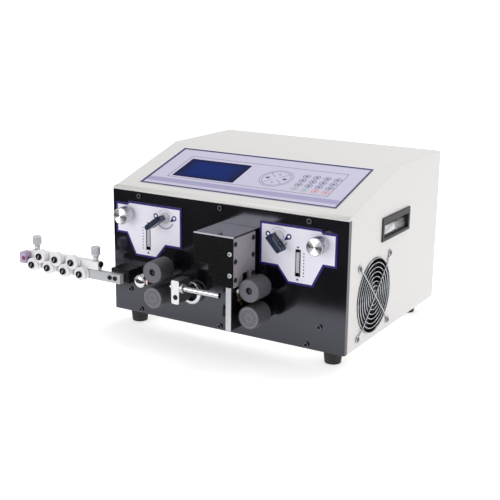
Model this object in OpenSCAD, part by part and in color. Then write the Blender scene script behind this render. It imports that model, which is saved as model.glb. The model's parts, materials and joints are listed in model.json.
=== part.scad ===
// Bench machine that feeds, cuts and strips electric wire.
// X runs along the wire, Y from the front plate's face to the rear, Z up from the table.

/* [Casing] */
// Width of the casing and the front plate
body_w = 405; // [385:1:440]
// Depth from the front plate's face to the rear panel
body_d = 337; // [320:1:380]
// Height of the flat top above the bottom sheet
body_h = 246; // [238:1:270]
// Depth at which the sloping panel meets the flat top
slope_d = 169; // [160:1:185]
// Depth of the rounded nose above the front plate
nose_d = 8; // [6:0.5:10]
// Rise of the nose above the front plate
nose_h = 5; // [4:0.5:8]
// Thickness of the folded sheet
sheet_t = 1.5; // [1:0.1:2]

/* [Front plate] */
// Height of the front plate
plate_h = 194; // [190:1:200]
// Thickness of the front plate
plate_t = 8; // [6:0.5:10]
// Shift of the wire mechanism from the middle of the plate
mech_x = -5; // [-8:0.5:0]
// Diameter of the panel screws' heads
screw_head_d = 7.6; // [6:0.2:9]
// Diameter of the panel screws' shanks
screw_d = 4; // [3:0.5:5]

/* [Feet] */
// Height of the feet
foot_h = 22; // [15:1:28]
// Diameter of a foot at its top
foot_d = 29; // [24:1:34]
// Distance of the feet from the casing's sides
foot_inset = 29.5; // [25:0.5:50]
// Distance of the front feet from the plate's face
foot_front = 24; // [23:0.5:40]
// Distance of the rear feet from the rear panel
foot_rear = 37; // [25:1:60]

/* [Wire line] */
// Height of the wire above the plate's bottom edge
wire_z = 70; // [66:0.5:74]
// Distance of the wire in front of the plate
wire_y = 44; // [40:0.5:48]

/* [Feed rollers] */
// Distance of a roller pair from the mechanism's middle
roller_dx = 83.5; // [82:0.5:90]
// Diameter of a feed roller
roller_d = 33.5; // [30:0.5:34]
// Length of a feed roller
roller_len = 33.5; // [30:0.5:36]
// Gap between the plate and the rollers
roller_back = 22.5; // [18:0.5:25]
// Open gap between two rollers
roller_gap = 6.3; // [5.4:0.1:7]
// Travel that closes the gap
close_travel = 4.4; // [2:0.1:4.6]
// Diameter of the roller shafts
shaft_d = 10; // [8:0.5:12]
// Teeth of a feed gear
gear_teeth = 12; // [12:1:16]
// Thickness of a feed gear
gear_t = 12; // [8:1:14]

/* [Pressure controls] */
// Distance from the roller's axis out to the release lever
lever_off = 15; // [14:0.5:18]
// Depth of the release levers below the plate's top edge
lever_drop = 34; // [30:0.5:36]
// Length of a release lever from its hub
lever_len = 23; // [20:1:30]
// Droop of the left lever below level at rest
lever_left = 37; // [20:1:60]
// Droop of the right lever below level at rest
lever_right = 47; // [20:1:60]
// Turn of a release lever that closes the rollers
lever_turn = 90; // [60:5:100]
// Distance from the release lever out to the pointer slot
pointer_off = 32; // [31:0.5:34]
// Height of the middle of the pointer slot
pointer_z = 125; // [122:0.5:128]
// Travel of the pointer each way
pointer_travel = 12; // [8:0.5:13]
// Distance from the pointer slot out to the pressure knob
knob_off = 36.5; // [36:0.5:40]
// Diameter of a pressure knob
knob_d = 26; // [20:0.5:28]
// Length of a pressure knob
knob_len = 20; // [15:0.5:24]
// Pitch radius of the pinion behind the knob
knob_pinion_r = 12; // [10:0.5:13]

/* [Blade head] */
// Distance of the frame's inner face from the mechanism's middle
frame_dx = 52; // [51:0.5:54]
// Thickness of the frame plate
frame_t = 9; // [7:0.5:9]
// Distance of the head's front face from the plate
head_front = 68; // [64:1:74]
// Height of the cover's lower edge
head_bottom = 93; // [90:0.5:95]
// Height of the head's top
head_top = 166; // [162:0.5:172]
// Height of the step that clears the swinging tube
step_z = 122.5; // [118:0.5:126]
// Thickness of the cover's sheet
cover_t = 1.5; // [1:0.1:2]
// Thickness of the side panel
side_panel_t = 3.5; // [2:0.5:4]
// Open gap between the blades
blade_gap = 19; // [15:0.5:20]
// Travel of each blade
blade_travel = 9.2; // [5:0.1:9.2]
// Thickness of a blade
blade_t = 2.9; // [2:0.1:4]
// Width of a blade
blade_w = 16; // [12:1:18]
// Pitch radius of the blade pinion
blade_pinion_r = 10.5; // [9:0.5:11]
// Height of the blade pinion
blade_pinion_z = 110; // [108:0.5:112]

/* [Conduit] */
// Distance of the arm's pivot from the mechanism's middle
arm_dx = 47; // [44:0.5:48]
// Height of the arm's pivot
arm_z = 52; // [50:0.5:56]
// Width of the arm's block
arm_w = 15; // [14:0.5:16]
// Outer diameter of the tube
tube_od = 8; // [7.6:0.1:9]
// Bore of the tube
tube_bore = 6.2; // [6:0.1:6.4]
// Gap between the tube's tip and the blades
tube_tip_gap = 11; // [8:0.5:14]

/* [Straightener] */
// Pitch of the straightener's rollers
st_pitch = 33; // [32:0.5:36]
// Distance between the two rows of axes
st_rows = 16; // [15:0.5:18]
// Diameter of a straightener roller
st_roller_d = 21.5; // [18:0.5:21.5]
// Length of a straightener roller
st_roller_len = 12; // [10:0.5:13]
// Distance of the bar's right end from the mechanism's middle
st_end_dx = 159; // [156:1:164]
// Distance from the bar's right end to the last lower roller
st_lead = 70; // [68:1:80]
// Thickness of the bar and the sliding plate
st_bar_t = 10; // [9:0.5:12]
// Diameter of a thumb screw's head
thumb_d = 14.5; // [12:0.5:17]
// Opening travel of the sliding plate
st_open = 5; // [3:0.5:6]
// Closing travel of the sliding plate
st_close = 0.7; // [0.3:0.1:0.7]

/* [Cooling fan] */
// Outer size of the fan's frame
fan_size = 120; // [119:0.5:122]
// Spacing of the fan's screw holes
fan_holes = 105; // [104:0.5:106]
// Depth of the fan's frame
fan_t = 25; // [20:1:38]
// Distance of the fan's axis from the plate's face
fan_y = 92; // [90:1:110]
// Height of the fan's axis
fan_z = 66; // [66:0.5:70]

/* [Side handles] */
// Distance of a handle's middle from the plate's face
handle_y = 162; // [155:1:200]
// Height of a handle's middle
handle_z = 159.5; // [158:0.5:170]
// Length of a handle's frame
handle_l = 102; // [90:1:115]
// Height of a handle's frame
handle_h = 36; // [34:0.5:42]
// Depth of a handle's pocket
handle_deep = 26; // [20:1:32]

/* [Control panel] */
// Width of the printed overlay
overlay_w = 338; // [320:1:350]
// Distance along the slope from the nose to the overlay
overlay_start = 18; // [12:0.5:25]
// Length of the overlay along the slope
overlay_l = 128; // [120:0.5:135]
// Thickness of the printed overlay
film_t = 0.6; // [0.3:0.1:1]
// Thickness of the two scale plates
scale_t = 1.6; // [1:0.1:2]
// Width of the display's window
lcd_w = 111.5; // [100:0.5:130]
// Length of the display's window along the slope
lcd_l = 62; // [50:0.5:75]
// Distance of the display's middle left of the panel's middle
lcd_left = 76; // [72:0.5:90]

/* [Rear inlet] */
// Distance of the power inlet from the middle of the rear panel
inlet_x = 130; // [60:1:150]
// Height of the power inlet's middle
inlet_z = 55; // [45:1:90]

/* [Clearances] */
// Radial clearance of a shaft in its bore
run_gap = 0.05; // [0.02:0.01:0.1]
// Gap between sliding faces
slide_gap = 0.4; // [0.3:0.05:0.6]
// Gap between fixed pieces
fit_gap = 0.2; // [0.1:0.05:0.4]

/* [Hidden] */
$fn = 64;

LEFT = -1;
RIGHT = 1;

powder_white = "#e9e6dc";
satin_black = "#1c1c1f";
rubber_grey = "#4a4b4e";
bright_steel = "#c9ccd0";
satin_alloy = "#b4b6b9";
nylon_white = "#f2f2f0";

// Slope of the control panel
slope_a = atan((body_h - plate_h - nose_h) / (slope_d - nose_d));
slope_drop = sheet_t / cos(slope_a);

// Layers behind the plate
flange_t = sheet_t;
layer_y = plate_t + fit_gap + flange_t + 0.8;
layer_t = 10;
layer_end = layer_y + layer_t;
gear_y = layer_end + 1.5;
motor_y = gear_y + gear_t + 6;
motor_w = 57;
motor_l = 56;
motor_bolt = 47.14;
pillar_d = 8;
motor_seat = 6;

// Panel screws
screw_head_t = 2.4;
screw_socket = 3;
screw_row_dx = 147;
screw_low_z = 6;
screw_top = 7;
side_screw_dx = 167;
side_screw_z = 36;
bar_screw_d = 5.4;
bar_screw_seat = 8;

// Sheet metal details
tray_t = 2;
tray_lip = 12;
tab_w = 16;
lip_h = 16;
side_vents = 8;
side_vent_y = 60;
side_vent_pitch = 12;
side_vent_w = 5;
side_vent_low = 30;
side_vent_high = 100;
rear_vents = 10;
rear_vent_x = -150;
rear_vent_pitch = 14;
rear_vent_w = 6;
rear_vent_h = 60;
rear_vent_z = 120;
foot_taper = 5;
foot_floor = 6;

// Parts on the tray
supply_x = -95;
supply_w = 110;
supply_d = 100;
supply_h = 48;
supply_y = body_d - 80;
board_x = 50;
board_w = 120;
board_d = 100;
board_t = 1.6;
board_y = body_d - 90;
board_post = 6;
post_h = 8;

// Rear inlet and its switch
inlet_w = 27;
inlet_h = 47;
inlet_deep = 24;
inlet_rim = 2.5;
socket_w = 23;
socket_deep = 15;
socket_low = -20;
socket_high = -1;
rocker_w = 19.2;
rocker_tilt = 8;
rocker_y = -3.5;
rocker_z = 13;
rocker_pin_d = 3;
well_w = 20;
well_h = 14;
well_deep = 14;

// Side handles
pocket_l = handle_l - 8;
pocket_h = handle_h - 6;
bezel_t = 2.5;
pocket_wall = 2;
grip_h = 7;
grip_t = 4;

// Feed rollers and gears
axis_gap = roller_d + roller_gap;
upper_z = wire_z + axis_gap / 2;
lower_z = wire_z - axis_gap / 2;
mesh_play = 0.2;
gear_m = (axis_gap - close_travel - mesh_play) / gear_teeth;
roller_front = roller_back + roller_len;
bush_wall = 6;
bush_flange_t = 4;
tooth_thin = 0.5;

// Pressure controls
lever_dx = roller_dx + lever_off;
pointer_dx = lever_dx + pointer_off;
knob_dx = pointer_dx + knob_off;
lever_z = plate_h - lever_drop;
knob_z = lever_z - 2;
spindle_d = 8;
lever_base_d = 18;
lever_base_t = 9;
lever_face = 28;
lever_w = 8;
lever_tail = 6;
cam_low = 7.4;
cam_high = cam_low + close_travel;
cam_gap = 0.6;
arm_half = cam_high + 7;
arm_top = lever_z + cam_high + cam_gap + 7;
rib_t = 2.4;
pinion_teeth = 12;
pinion_m = 2 * knob_pinion_r / pinion_teeth;
rack_back = 8;
slot_w = 9;
scale_slot_h = 40;
pointer_h = 30;
pointer_stem = 6;
slot_end = 1;
shelf_t = 6;
slider_arm_h = 12;
spring_d = 8;
spring_wire = 1.2;

// Blade head
frame_x = mech_x + frame_dx;
frame_out = frame_x + frame_t;
cover_x = mech_x - 1;
pinion_x = frame_x - 33;
rail_t = 4;
rail_w = 12;
rail_y = -30;
block_x = frame_x - 14;
panel_out = frame_out + side_panel_t;
rack_t = 5;
blade_m = 2 * blade_pinion_r / pinion_teeth;
blade_pinion_back = 12;
blade_pinion_front = 26;
seat_front = 60;
recess_y = 30;
recess_x = block_x - 5.2;
wire_hole_d = 12;
frame_bottom = 29;
frame_top = head_top - 6;
upper_seat = 16;
lower_seat = 5;
lower_block_h = 26;
notch_front = -42;
notch_w = 17;
notch_h = 16;
panel_back = -8;
bridge_h = 13;

// Conduit
pivot_x = mech_x - arm_dx;
arm_front = wire_y + 6;
arm_back = 22;
arm_top_z = wire_z + 12;
arm_foot = 6;
arm_bevel = 2.5;
tube_start = pivot_x - arm_w / 2 - 3;
tube_end = block_x - tube_tip_gap;

// Straightener
st_end = mech_x - st_end_dx;
st_back = wire_y - st_roller_len / 2;
st_face = wire_y + st_roller_len / 2;
st_low_z = wire_z - st_rows / 2;
st_high_z = wire_z + st_rows / 2;
st_last = st_end - st_lead;
st_left = st_last - 3 * st_pitch - 12;
st_split = wire_z - 0.5;
st_slide_top = wire_z + 13;
thumb_left_x = st_last - 3 * st_pitch - 2;
thumb_right_x = st_last + 20;
thumb_shank = 4;
thumb_z = st_slide_top + st_open + 2.5;
thumb_h = 15.5;
thumb_neck_d = 8;
thumb_neck_h = 5;
thumb_foot = 11;
axle_d = 6;
axle_head_d = 10.5;
axle_head_t = 2.6;
axle_gap = 0.3;
axle_seat = 2.4;
entry_t = 13;
post_dx = 111;
post_d = 20;

// Fan
fan_x = body_w / 2 - sheet_t - fit_gap;
fan_hub_d = 42;
fan_bore = fan_size - 7;
fan_pin_d = 4;
fan_screw_d = 3.9;
fan_blades = 7;
fan_pitch = 38;
guard_t = 2;
guard_lift = 3;
guard_rings = 7;
guard_step = 7.2;
guard_first = 9;

// Middle of the whole footprint
origin_x = (st_left - entry_t + body_w / 2 + guard_lift + guard_t) / 2;
origin_y = (body_d + inlet_rim - head_front) / 2;

// Display and printed films
lcd_back_t = 9.6;
lcd_rim = 16;
film_in = 27.5;
film_out = 21.5;
film_up = 15.5;

// Functions for involute gears and straight racks
function inv(a) = tan(a) - a * PI / 180;
function flank(r, rb, half) = half + (inv(20) - inv(acos(min(1, rb / r)))) * 180 / PI;
function radii(lo, hi) = [for (i = [0:5]) lo + (hi - lo) * i / 5];
function polar(r, a) = [r * cos(a), r * sin(a)];
function screw_spots() = concat(
  [for (x = [-screw_row_dx, 0, screw_row_dx], z = [screw_low_z, plate_h - screw_top]) [mech_x + x, z]],
  [for (s = [LEFT, RIGHT]) [mech_x + s * side_screw_dx, side_screw_z]]
);

// Moves the footprint's middle to the origin
module stand() {
  translate([-origin_x, -origin_y, 0]) children();
}

// As stand(), with Z counted from the bottom sheet
module lift() {
  stand() translate([0, 0, foot_h]) children();
}

module block(x0, x1, y0, y1, z0, z1) {
  translate([x0, y0, z0]) cube([x1 - x0, y1 - y0, z1 - z0]);
}

module rod_y(d, y0, y1) {
  translate([0, y0, 0]) rotate([-90, 0, 0]) cylinder(d = d, h = y1 - y0);
}

module rod_x(d, x0, x1) {
  translate([x0, 0, 0]) rotate([0, 90, 0]) cylinder(d = d, h = x1 - x0);
}

// Profile drawn in X and Z, thick along Y
module slab_y(y0, y1) {
  translate([0, y1, 0]) rotate([90, 0, 0]) linear_extrude(y1 - y0) children();
}

// Profile drawn in Y and Z, thick along X
module slab_x(x0, x1) {
  translate([x0, 0, 0]) rotate([90, 0, 90]) linear_extrude(x1 - x0) children();
}

// One side of the mirrored mechanism, drawn as the right side
module on_side(s) {
  lift() translate([mech_x, 0, 0]) mirror([s < 0 ? 1 : 0, 0, 0]) children();
}

// Plane of the sloping panel: X across, Y up the slope, Z outwards
module on_slope() {
  lift() translate([0, nose_d, plate_h + nose_h]) rotate([slope_a, 0, 0]) children();
}

module gear_2d(m, teeth, thin, turn = 0) {
  rp = m * teeth / 2;
  rb = rp * cos(20);
  half = 90 / teeth - thin / rp * 90 / PI;
  climb = radii(rp - 1.2 * m, rp + 0.95 * m);
  count = len(climb) - 1;
  polygon([
    for (k = [0:teeth - 1]) let (c = turn + 360 * k / teeth)
      for (i = [0:2 * count + 1])
        let (r = i <= count ? climb[i] : climb[2 * count + 1 - i])
        polar(r, c + (i <= count ? -1 : 1) * flank(r, rb, half))
  ]);
}

// Rack along Y, teeth towards +X from its pitch line at X = 0
module rack_2d(m, low, high, thin, back) {
  pitch = PI * m;
  half = pitch / 4 - thin / 2;
  tip = half - 0.9 * m * tan(20);
  root = half + 1.15 * m * tan(20);
  first = ceil((low + root) / pitch - 0.5);
  last = floor((high - root) / pitch - 0.5);
  translate([-1.15 * m - back, low]) square([back, high - low]);
  for (k = [first:last]) let (c = (k + 0.5) * pitch)
    polygon([
      [-1.15 * m - 1, c - root], [-1.15 * m, c - root], [0.9 * m, c - tip],
      [0.9 * m, c + tip], [-1.15 * m, c + root], [-1.15 * m - 1, c + root]
    ]);
}

module slot_2d(w, h) {
  square([w, h - w], center = true);
  for (k = [-1, 1]) translate([0, k * (h - w) / 2]) circle(d = w);
}

module casing_outline() {
  front = plate_t + fit_gap;
  lip = plate_h + fit_gap;
  polygon([
    [0, lip], [0, lip + sheet_t], [nose_d, plate_h + nose_h], [slope_d, body_h],
    [body_d, body_h], [body_d, 0], [front, 0], [front, lip]
  ]);
}

module casing_hollow() {
  front = plate_t + fit_gap;
  inner = front + flange_t;
  start = plate_h + nose_h - slope_drop + (inner - nose_d) * tan(slope_a);
  bend = slope_d + (slope_drop - sheet_t) / tan(slope_a);
  polygon([
    [front - 1, -1], [front - 1, plate_h - lip_h], [inner, plate_h - lip_h], [inner, start],
    [bend, body_h - sheet_t], [body_d + 1, body_h - sheet_t], [body_d + 1, -1]
  ]);
}

module casing() color(powder_white) lift() difference() {
  slab_x(-body_w / 2, body_w / 2) casing_outline();
  slab_x(-body_w / 2 + sheet_t, body_w / 2 - sheet_t) casing_hollow();
  for (s = [LEFT, RIGHT]) handle_cut(s);
  translate([0, fan_y, fan_z]) rod_x(fan_bore, fan_x - 1, body_w);
  for (j = [-1, 1], k = [-1, 1])
    translate([0, fan_y + j * fan_holes / 2, fan_z + k * fan_holes / 2])
      rod_x(fan_screw_d + 2 * fit_gap, fan_x - 1, body_w);
  for (k = [0:side_vents - 1]) let (y = side_vent_y + k * side_vent_pitch)
    block(-body_w, -body_w / 2 + sheet_t + 1, y, y + side_vent_w, side_vent_low, side_vent_high);
  translate([0, nose_d, plate_h + nose_h]) rotate([slope_a, 0, 0]) lcd_cut();
  for (p = screw_spots()) translate([p[0], 0, p[1]])
    rod_y(screw_d + 2 * fit_gap, 0, layer_y);
}

module lcd_cut() {
  translate([-lcd_left, overlay_start + overlay_l / 2, 0])
    cube([lcd_w + 2 * fit_gap, lcd_l + 2 * fit_gap, 4 * sheet_t], center = true);
}

module handle_cut(s) {
  x0 = s < 0 ? -body_w : body_w / 2 - sheet_t - 1;
  x1 = s < 0 ? -body_w / 2 + sheet_t + 1 : body_w;
  block(x0, x1, handle_y - pocket_l / 2 - fit_gap, handle_y + pocket_l / 2 + fit_gap,
    handle_z - pocket_h / 2 - fit_gap, handle_z + pocket_h / 2 + fit_gap);
}

module chassis_tray() color(powder_white) lift() difference() {
  half = body_w / 2 - sheet_t - fit_gap;
  front = plate_t + fit_gap;
  union() {
    block(-half, half, front, body_d, 0, tray_t);
    block(-half, half, body_d - tray_t, body_d, 0, body_h - sheet_t - fit_gap);
    block(-half, half, front, front + flange_t, 0, tray_lip);
    for (s = [LEFT, RIGHT]) translate([mech_x + s * side_screw_dx, 0, 0])
      block(-tab_w / 2, tab_w / 2, front, front + flange_t, 0, side_screw_z + tab_w / 2);
  }
  for (p = screw_spots()) translate([p[0], 0, p[1]])
    rod_y(screw_d + 2 * fit_gap, 0, layer_y);
  for (p = foot_spots()) translate([p[0], p[1], -1])
    cylinder(d = screw_d + 2 * fit_gap, h = tray_t + 2);
  translate([inlet_x, 0, inlet_z]) block(-inlet_w / 2 - fit_gap, inlet_w / 2 + fit_gap,
    body_d - 3, body_d + 1, -inlet_h / 2 - fit_gap, inlet_h / 2 + fit_gap);
  for (k = [0:rear_vents - 1]) translate([rear_vent_x + k * rear_vent_pitch, body_d, rear_vent_z])
    block(-rear_vent_w / 2, rear_vent_w / 2, -3, 1, -rear_vent_h / 2, rear_vent_h / 2);
}

module front_plate() color(satin_black) difference() {
  union() {
    lift() block(-body_w / 2, body_w / 2, 0, plate_t, 0, plate_h);
    for (s = [LEFT, RIGHT]) on_side(s) guide_ribs();
  }
  for (s = [LEFT, RIGHT]) on_side(s) {
    translate([roller_dx, 0, lower_z]) rod_y(bush_od() + 2 * run_gap, -1, plate_t + 1);
    translate([roller_dx, 0, upper_z - close_travel / 2]) slab_y(-1, plate_t + 1)
      slot_2d(shaft_d + 2, shaft_d + 2 + close_travel);
    translate([lever_dx, 0, lever_z]) rod_y(spindle_d + 2 * run_gap, -1, plate_t + 1);
    translate([knob_dx, 0, knob_z]) rod_y(spindle_d + 2 * run_gap, -1, plate_t + 1);
    translate([pointer_dx, 0, pointer_z]) slab_y(-1, plate_t + 1)
      square([slot_w, pointer_slot_h()], center = true);
  }
  lift() {
    translate([pivot_x, 0, arm_z]) rod_y(bush_od() + 2 * run_gap, -1, plate_t + 1);
    translate([pinion_x, 0, blade_pinion_z]) rod_y(bush_od() + 2 * run_gap, -1, plate_t + 1);
    for (p = screw_spots()) translate([p[0], 0, p[1]])
      rod_y(screw_d + 2 * fit_gap, -1, plate_t + 1);
  }
}

function bush_od() = shaft_d + 2 * bush_wall;
function pointer_slot_h() = 2 * pointer_travel + pointer_h + 2 * slot_end;

// Two ribs that guide the carrier of the upper shaft
module guide_ribs() {
  low = upper_z + 20;
  for (k = [-1, 1]) {
    edge = lever_dx + k * (arm_half + slide_gap);
    block(min(edge, edge + k * rib_t), max(edge, edge + k * rib_t), plate_t - 1, layer_end,
      low, plate_h - 18);
  }
}

function foot_spots() = [
  for (s = [-1, 1], y = [foot_front, body_d - foot_rear]) [s * (body_w / 2 - foot_inset), y]
];

module feet() color("#222224") stand() for (p = foot_spots()) translate([p[0], p[1], 0]) difference() {
  cylinder(d1 = foot_d - foot_taper, d2 = foot_d, h = foot_h);
  translate([0, 0, -1]) cylinder(d = screw_head_d + 2, h = foot_h - foot_floor + 1);
  cylinder(d = screw_d + 2 * fit_gap, h = foot_h + 1);
}

// Button head screw pointing along +Y, its head in front of Y = 0
module button_screw(length) {
  difference() {
    union() {
      rod_y(screw_head_d, -screw_head_t, 0);
      rod_y(screw_d, -screw_head_t, length);
    }
    slab_y(-screw_head_t - 1, -0.6) circle(d = screw_socket, $fn = 6);
  }
}

module panel_screws() color("#3a3b3e") {
  lift() for (p = screw_spots()) translate([p[0], 0, p[1]]) button_screw(plate_t + flange_t + 0.5);
  stand() for (p = foot_spots()) translate([p[0], p[1], foot_h - foot_floor])
    rotate([90, 0, 0]) button_screw(foot_floor + tray_t + 2);
  lift() for (x = bar_screws()) translate([x, 0, st_bar_z()]) difference() {
    rod_y(bar_screw_d, -st_back + 1, -st_back + st_bar_t + bar_screw_seat);
    slab_y(-st_back, -st_back + 4) circle(d = screw_socket, $fn = 6);
  }
}

function bar_screws() = [st_end - 9, st_end - 19];
function st_bar_z() = (st_split + st_low_z - 8) / 2;

module scale_outline() {
  inner = lever_dx - film_in;
  outer = knob_dx + film_out;
  top = lever_z + film_up;
  polygon([
    [inner, top], [knob_dx - 1, top], [knob_dx + 1.5, top - 3.5], [outer, top - 3.5],
    [outer, pointer_z + 4], [knob_dx + 3, pointer_z + 4], [pointer_dx + 23, pointer_z - 29],
    [pointer_dx - 14.5, pointer_z - 29], [pointer_dx - 32, pointer_z - 7], [inner, pointer_z - 7]
  ]);
}

module printed_films() color("#d5d3ec") {
  on_slope() translate([0, overlay_start + overlay_l / 2, 0]) linear_extrude(film_t) difference() {
    square([overlay_w, overlay_l], center = true);
    translate([-lcd_left, 0]) square([lcd_w, lcd_l], center = true);
  }
  for (s = [LEFT, RIGHT]) on_side(s) slab_y(-scale_t, 0) difference() {
    scale_outline();
    translate([lever_dx, lever_z]) circle(d = spindle_d + 2);
    translate([knob_dx, knob_z]) circle(d = spindle_d + 2);
    translate([pointer_dx, pointer_z]) square([slot_w, scale_slot_h], center = true);
  }
}

module display_module() color("#2f3f9e") on_slope()
  translate([-lcd_left, overlay_start + overlay_l / 2, 0]) {
    translate([0, 0, -sheet_t / 2])
      cube([lcd_w - fit_gap, lcd_l - fit_gap, sheet_t + film_t], center = true);
    translate([0, 0, -sheet_t - lcd_back_t / 2 - fit_gap])
      cube([lcd_w + lcd_rim, lcd_l + lcd_rim, lcd_back_t], center = true);
  }

function board_posts() = [
  for (j = [-1, 1], k = [-1, 1])
    [board_x + j * (board_w / 2 - board_post), board_y + k * (board_d / 2 - board_post)]
];

// Power supply and driver board
module electronics() color("#9aa0a4") lift() {
  top = tray_t + post_h;
  translate([supply_x, supply_y, 0])
    block(-supply_w / 2, supply_w / 2, -supply_d / 2, supply_d / 2, tray_t, tray_t + supply_h);
  difference() {
    translate([board_x, board_y, 0])
      block(-board_w / 2, board_w / 2, -board_d / 2, board_d / 2, top, top + board_t);
    for (p = board_posts()) translate([p[0], p[1], 0]) cylinder(d = 3.4, h = 2 * top);
  }
  for (p = board_posts()) translate([p[0], p[1], tray_t]) {
    cylinder(d = 7, h = post_h);
    cylinder(d = 3, h = post_h + 2 * board_t);
  }
}

module power_inlet() color(satin_black) lift() translate([inlet_x, body_d, inlet_z]) difference() {
  union() {
    block(-inlet_w / 2, inlet_w / 2, -inlet_deep, 0, -inlet_h / 2, inlet_h / 2);
    block(-inlet_w / 2 - 3, inlet_w / 2 + 3, 0, inlet_rim, -inlet_h / 2 - 5, inlet_h / 2 + 5);
  }
  block(-socket_w / 2, socket_w / 2, -socket_deep, inlet_rim + 1, socket_low, socket_high);
  block(-well_w / 2, well_w / 2, -well_deep, inlet_rim + 1, rocker_z - well_h / 2, rocker_z + well_h / 2);
  translate([0, rocker_y, rocker_z]) rod_x(rocker_pin_d + 2 * run_gap, -well_w / 2 - 2, well_w / 2 + 2);
}

module power_rocker() color("#26262a") lift()
  translate([inlet_x, body_d + rocker_y, inlet_z + rocker_z]) {
    rod_x(rocker_pin_d, -well_w / 2 - 1.8, well_w / 2 + 1.8);
    rotate([-rocker_tilt, 0, 0]) slab_x(-rocker_w / 2, rocker_w / 2)
      polygon([[-4, -3], [3, -5.2], [7.6, -5.4], [6.6, 0], [7.6, 5.4], [3, 5.2], [-4, 3]]);
  }

module side_handles() color(satin_black) for (s = [LEFT, RIGHT])
  lift() mirror([s < 0 ? 1 : 0, 0, 0]) translate([body_w / 2, handle_y, handle_z]) difference() {
    union() {
      block(0, bezel_t, -handle_l / 2, handle_l / 2, -handle_h / 2, handle_h / 2);
      block(-handle_deep, 0, -pocket_l / 2, pocket_l / 2, -pocket_h / 2, pocket_h / 2);
    }
    pocket_space(bezel_t + 1, pocket_h / 2 - grip_h);
    pocket_space(-grip_t, pocket_h / 2 - pocket_wall);
  }

// Room for the fingers, deeper behind the grip's edge
module pocket_space(x1, z1) {
  y = pocket_l / 2 - pocket_wall;
  block(-handle_deep + pocket_wall, x1, -y, y, -pocket_h / 2 + pocket_wall, z1);
}

module fan_frame() color(satin_black) lift() translate([0, fan_y, fan_z]) {
  difference() {
    block(fan_x - fan_t, fan_x, -fan_size / 2, fan_size / 2, -fan_size / 2, fan_size / 2);
    rod_x(fan_bore, fan_x - fan_t - 1, fan_x + 1);
    for (j = [-1, 1], k = [-1, 1]) translate([0, j * fan_holes / 2, k * fan_holes / 2])
      rod_x(fan_screw_d + 2 * fit_gap, fan_x - fan_t - 1, fan_x + 1);
  }
  for (a = [45:90:315]) rotate([a, 0, 0])
    block(fan_x - fan_t, fan_x - fan_t + 3, 10, fan_bore / 2 + 1, -2.5, 2.5);
  rod_x(fan_hub_d, fan_x - fan_t, fan_x - fan_t + 4);
  rod_x(fan_pin_d, fan_x - fan_t, fan_x - 6);
}

module fan_rotor() color("#2b2c30") lift() translate([0, fan_y, fan_z]) difference() {
  union() {
    rod_x(fan_hub_d, fan_x - fan_t + 5, fan_x - 4);
    for (k = [0:fan_blades - 1]) rotate([k * 360 / fan_blades, 0, 0])
      translate([fan_x - fan_t / 2 + 0.5, fan_hub_d / 2 - 2, 0]) rotate([0, fan_pitch, 0])
        block(-1, 1, 0, (fan_bore - fan_hub_d) / 2 - 0.8, -11, 11);
  }
  rod_x(fan_pin_d + 2 * run_gap, fan_x - fan_t, fan_x - 5.5);
}

module fan_guard() color(bright_steel) lift()
  translate([body_w / 2, fan_y, fan_z]) {
    for (k = [0:guard_rings - 1]) let (r = guard_first + k * guard_step) difference() {
      rod_x(2 * r + guard_t, guard_lift, guard_lift + guard_t);
      rod_x(2 * r - guard_t, guard_lift - 1, guard_lift + guard_t + 1);
    }
    for (a = [45, 135]) rotate([a, 0, 0])
      block(guard_lift - 1.5, guard_lift + 0.5, -fan_holes / 2 * sqrt(2), fan_holes / 2 * sqrt(2),
        -guard_t / 2, guard_t / 2);
    for (j = [-1, 1], k = [-1, 1]) translate([0, j * fan_holes / 2, k * fan_holes / 2]) {
      rod_x(9, 0, guard_lift + 0.5);
      rod_x(fan_screw_d, -12, 1);
    }
  }

// Stepper motor with its four pillars on the plate's back
module motor() difference() {
  union() {
    block(-motor_w / 2, motor_w / 2, motor_y, motor_y + motor_l, -motor_w / 2, motor_w / 2);
    for (j = [-1, 1], k = [-1, 1]) translate([j * motor_bolt / 2, 0, k * motor_bolt / 2])
      rod_y(pillar_d, plate_t, motor_y + 1);
  }
  rod_y(shaft_d + 2 * run_gap, motor_y - 1, motor_y + motor_seat + 1);
}

module stepper_motors() color("#303134") {
  for (s = [LEFT, RIGHT]) on_side(s) translate([roller_dx, 0, lower_z]) motor();
  lift() translate([pinion_x, 0, blade_pinion_z]) motor();
}

// Flanged bush that a shaft runs in
module bush() difference() {
  union() {
    rod_y(bush_od(), -bush_flange_t, plate_t);
    rod_y(bush_od() + 4, -bush_flange_t, 0);
  }
  rod_y(shaft_d + 2 * run_gap, -bush_flange_t - 1, plate_t + 1);
}

module shaft_bushes() color(bright_steel) {
  for (s = [LEFT, RIGHT]) on_side(s) translate([roller_dx, 0, lower_z]) bush();
  lift() translate([pivot_x, 0, arm_z]) bush();
  lift() translate([pinion_x, 0, blade_pinion_z]) bush();
}

module upper_roller(s) color(rubber_grey) on_side(s) translate([roller_dx, 0, upper_z]) difference() {
  rod_y(roller_d, -roller_front, -roller_back);
  rod_y(shaft_d + 2 * run_gap, -roller_front - 1, 0);
}

module lower_roller(s) color(rubber_grey) on_side(s) translate([roller_dx, 0, lower_z]) difference() {
  rod_y(roller_d, -roller_front, -roller_back);
  rod_y(shaft_d + 2 * run_gap, -roller_front + 3, 0);
}

module upper_gear_shaft(s) color(bright_steel) on_side(s) translate([roller_dx, 0, upper_z]) {
  difference() {
    rod_y(shaft_d, -roller_front + 4, gear_y + gear_t);
    slab_y(-roller_front, -roller_front + 9) circle(d = 5, $fn = 6);
  }
  slab_y(gear_y, gear_y + gear_t) gear_2d(gear_m, gear_teeth, tooth_thin, 180 / gear_teeth - 90);
}

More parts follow.
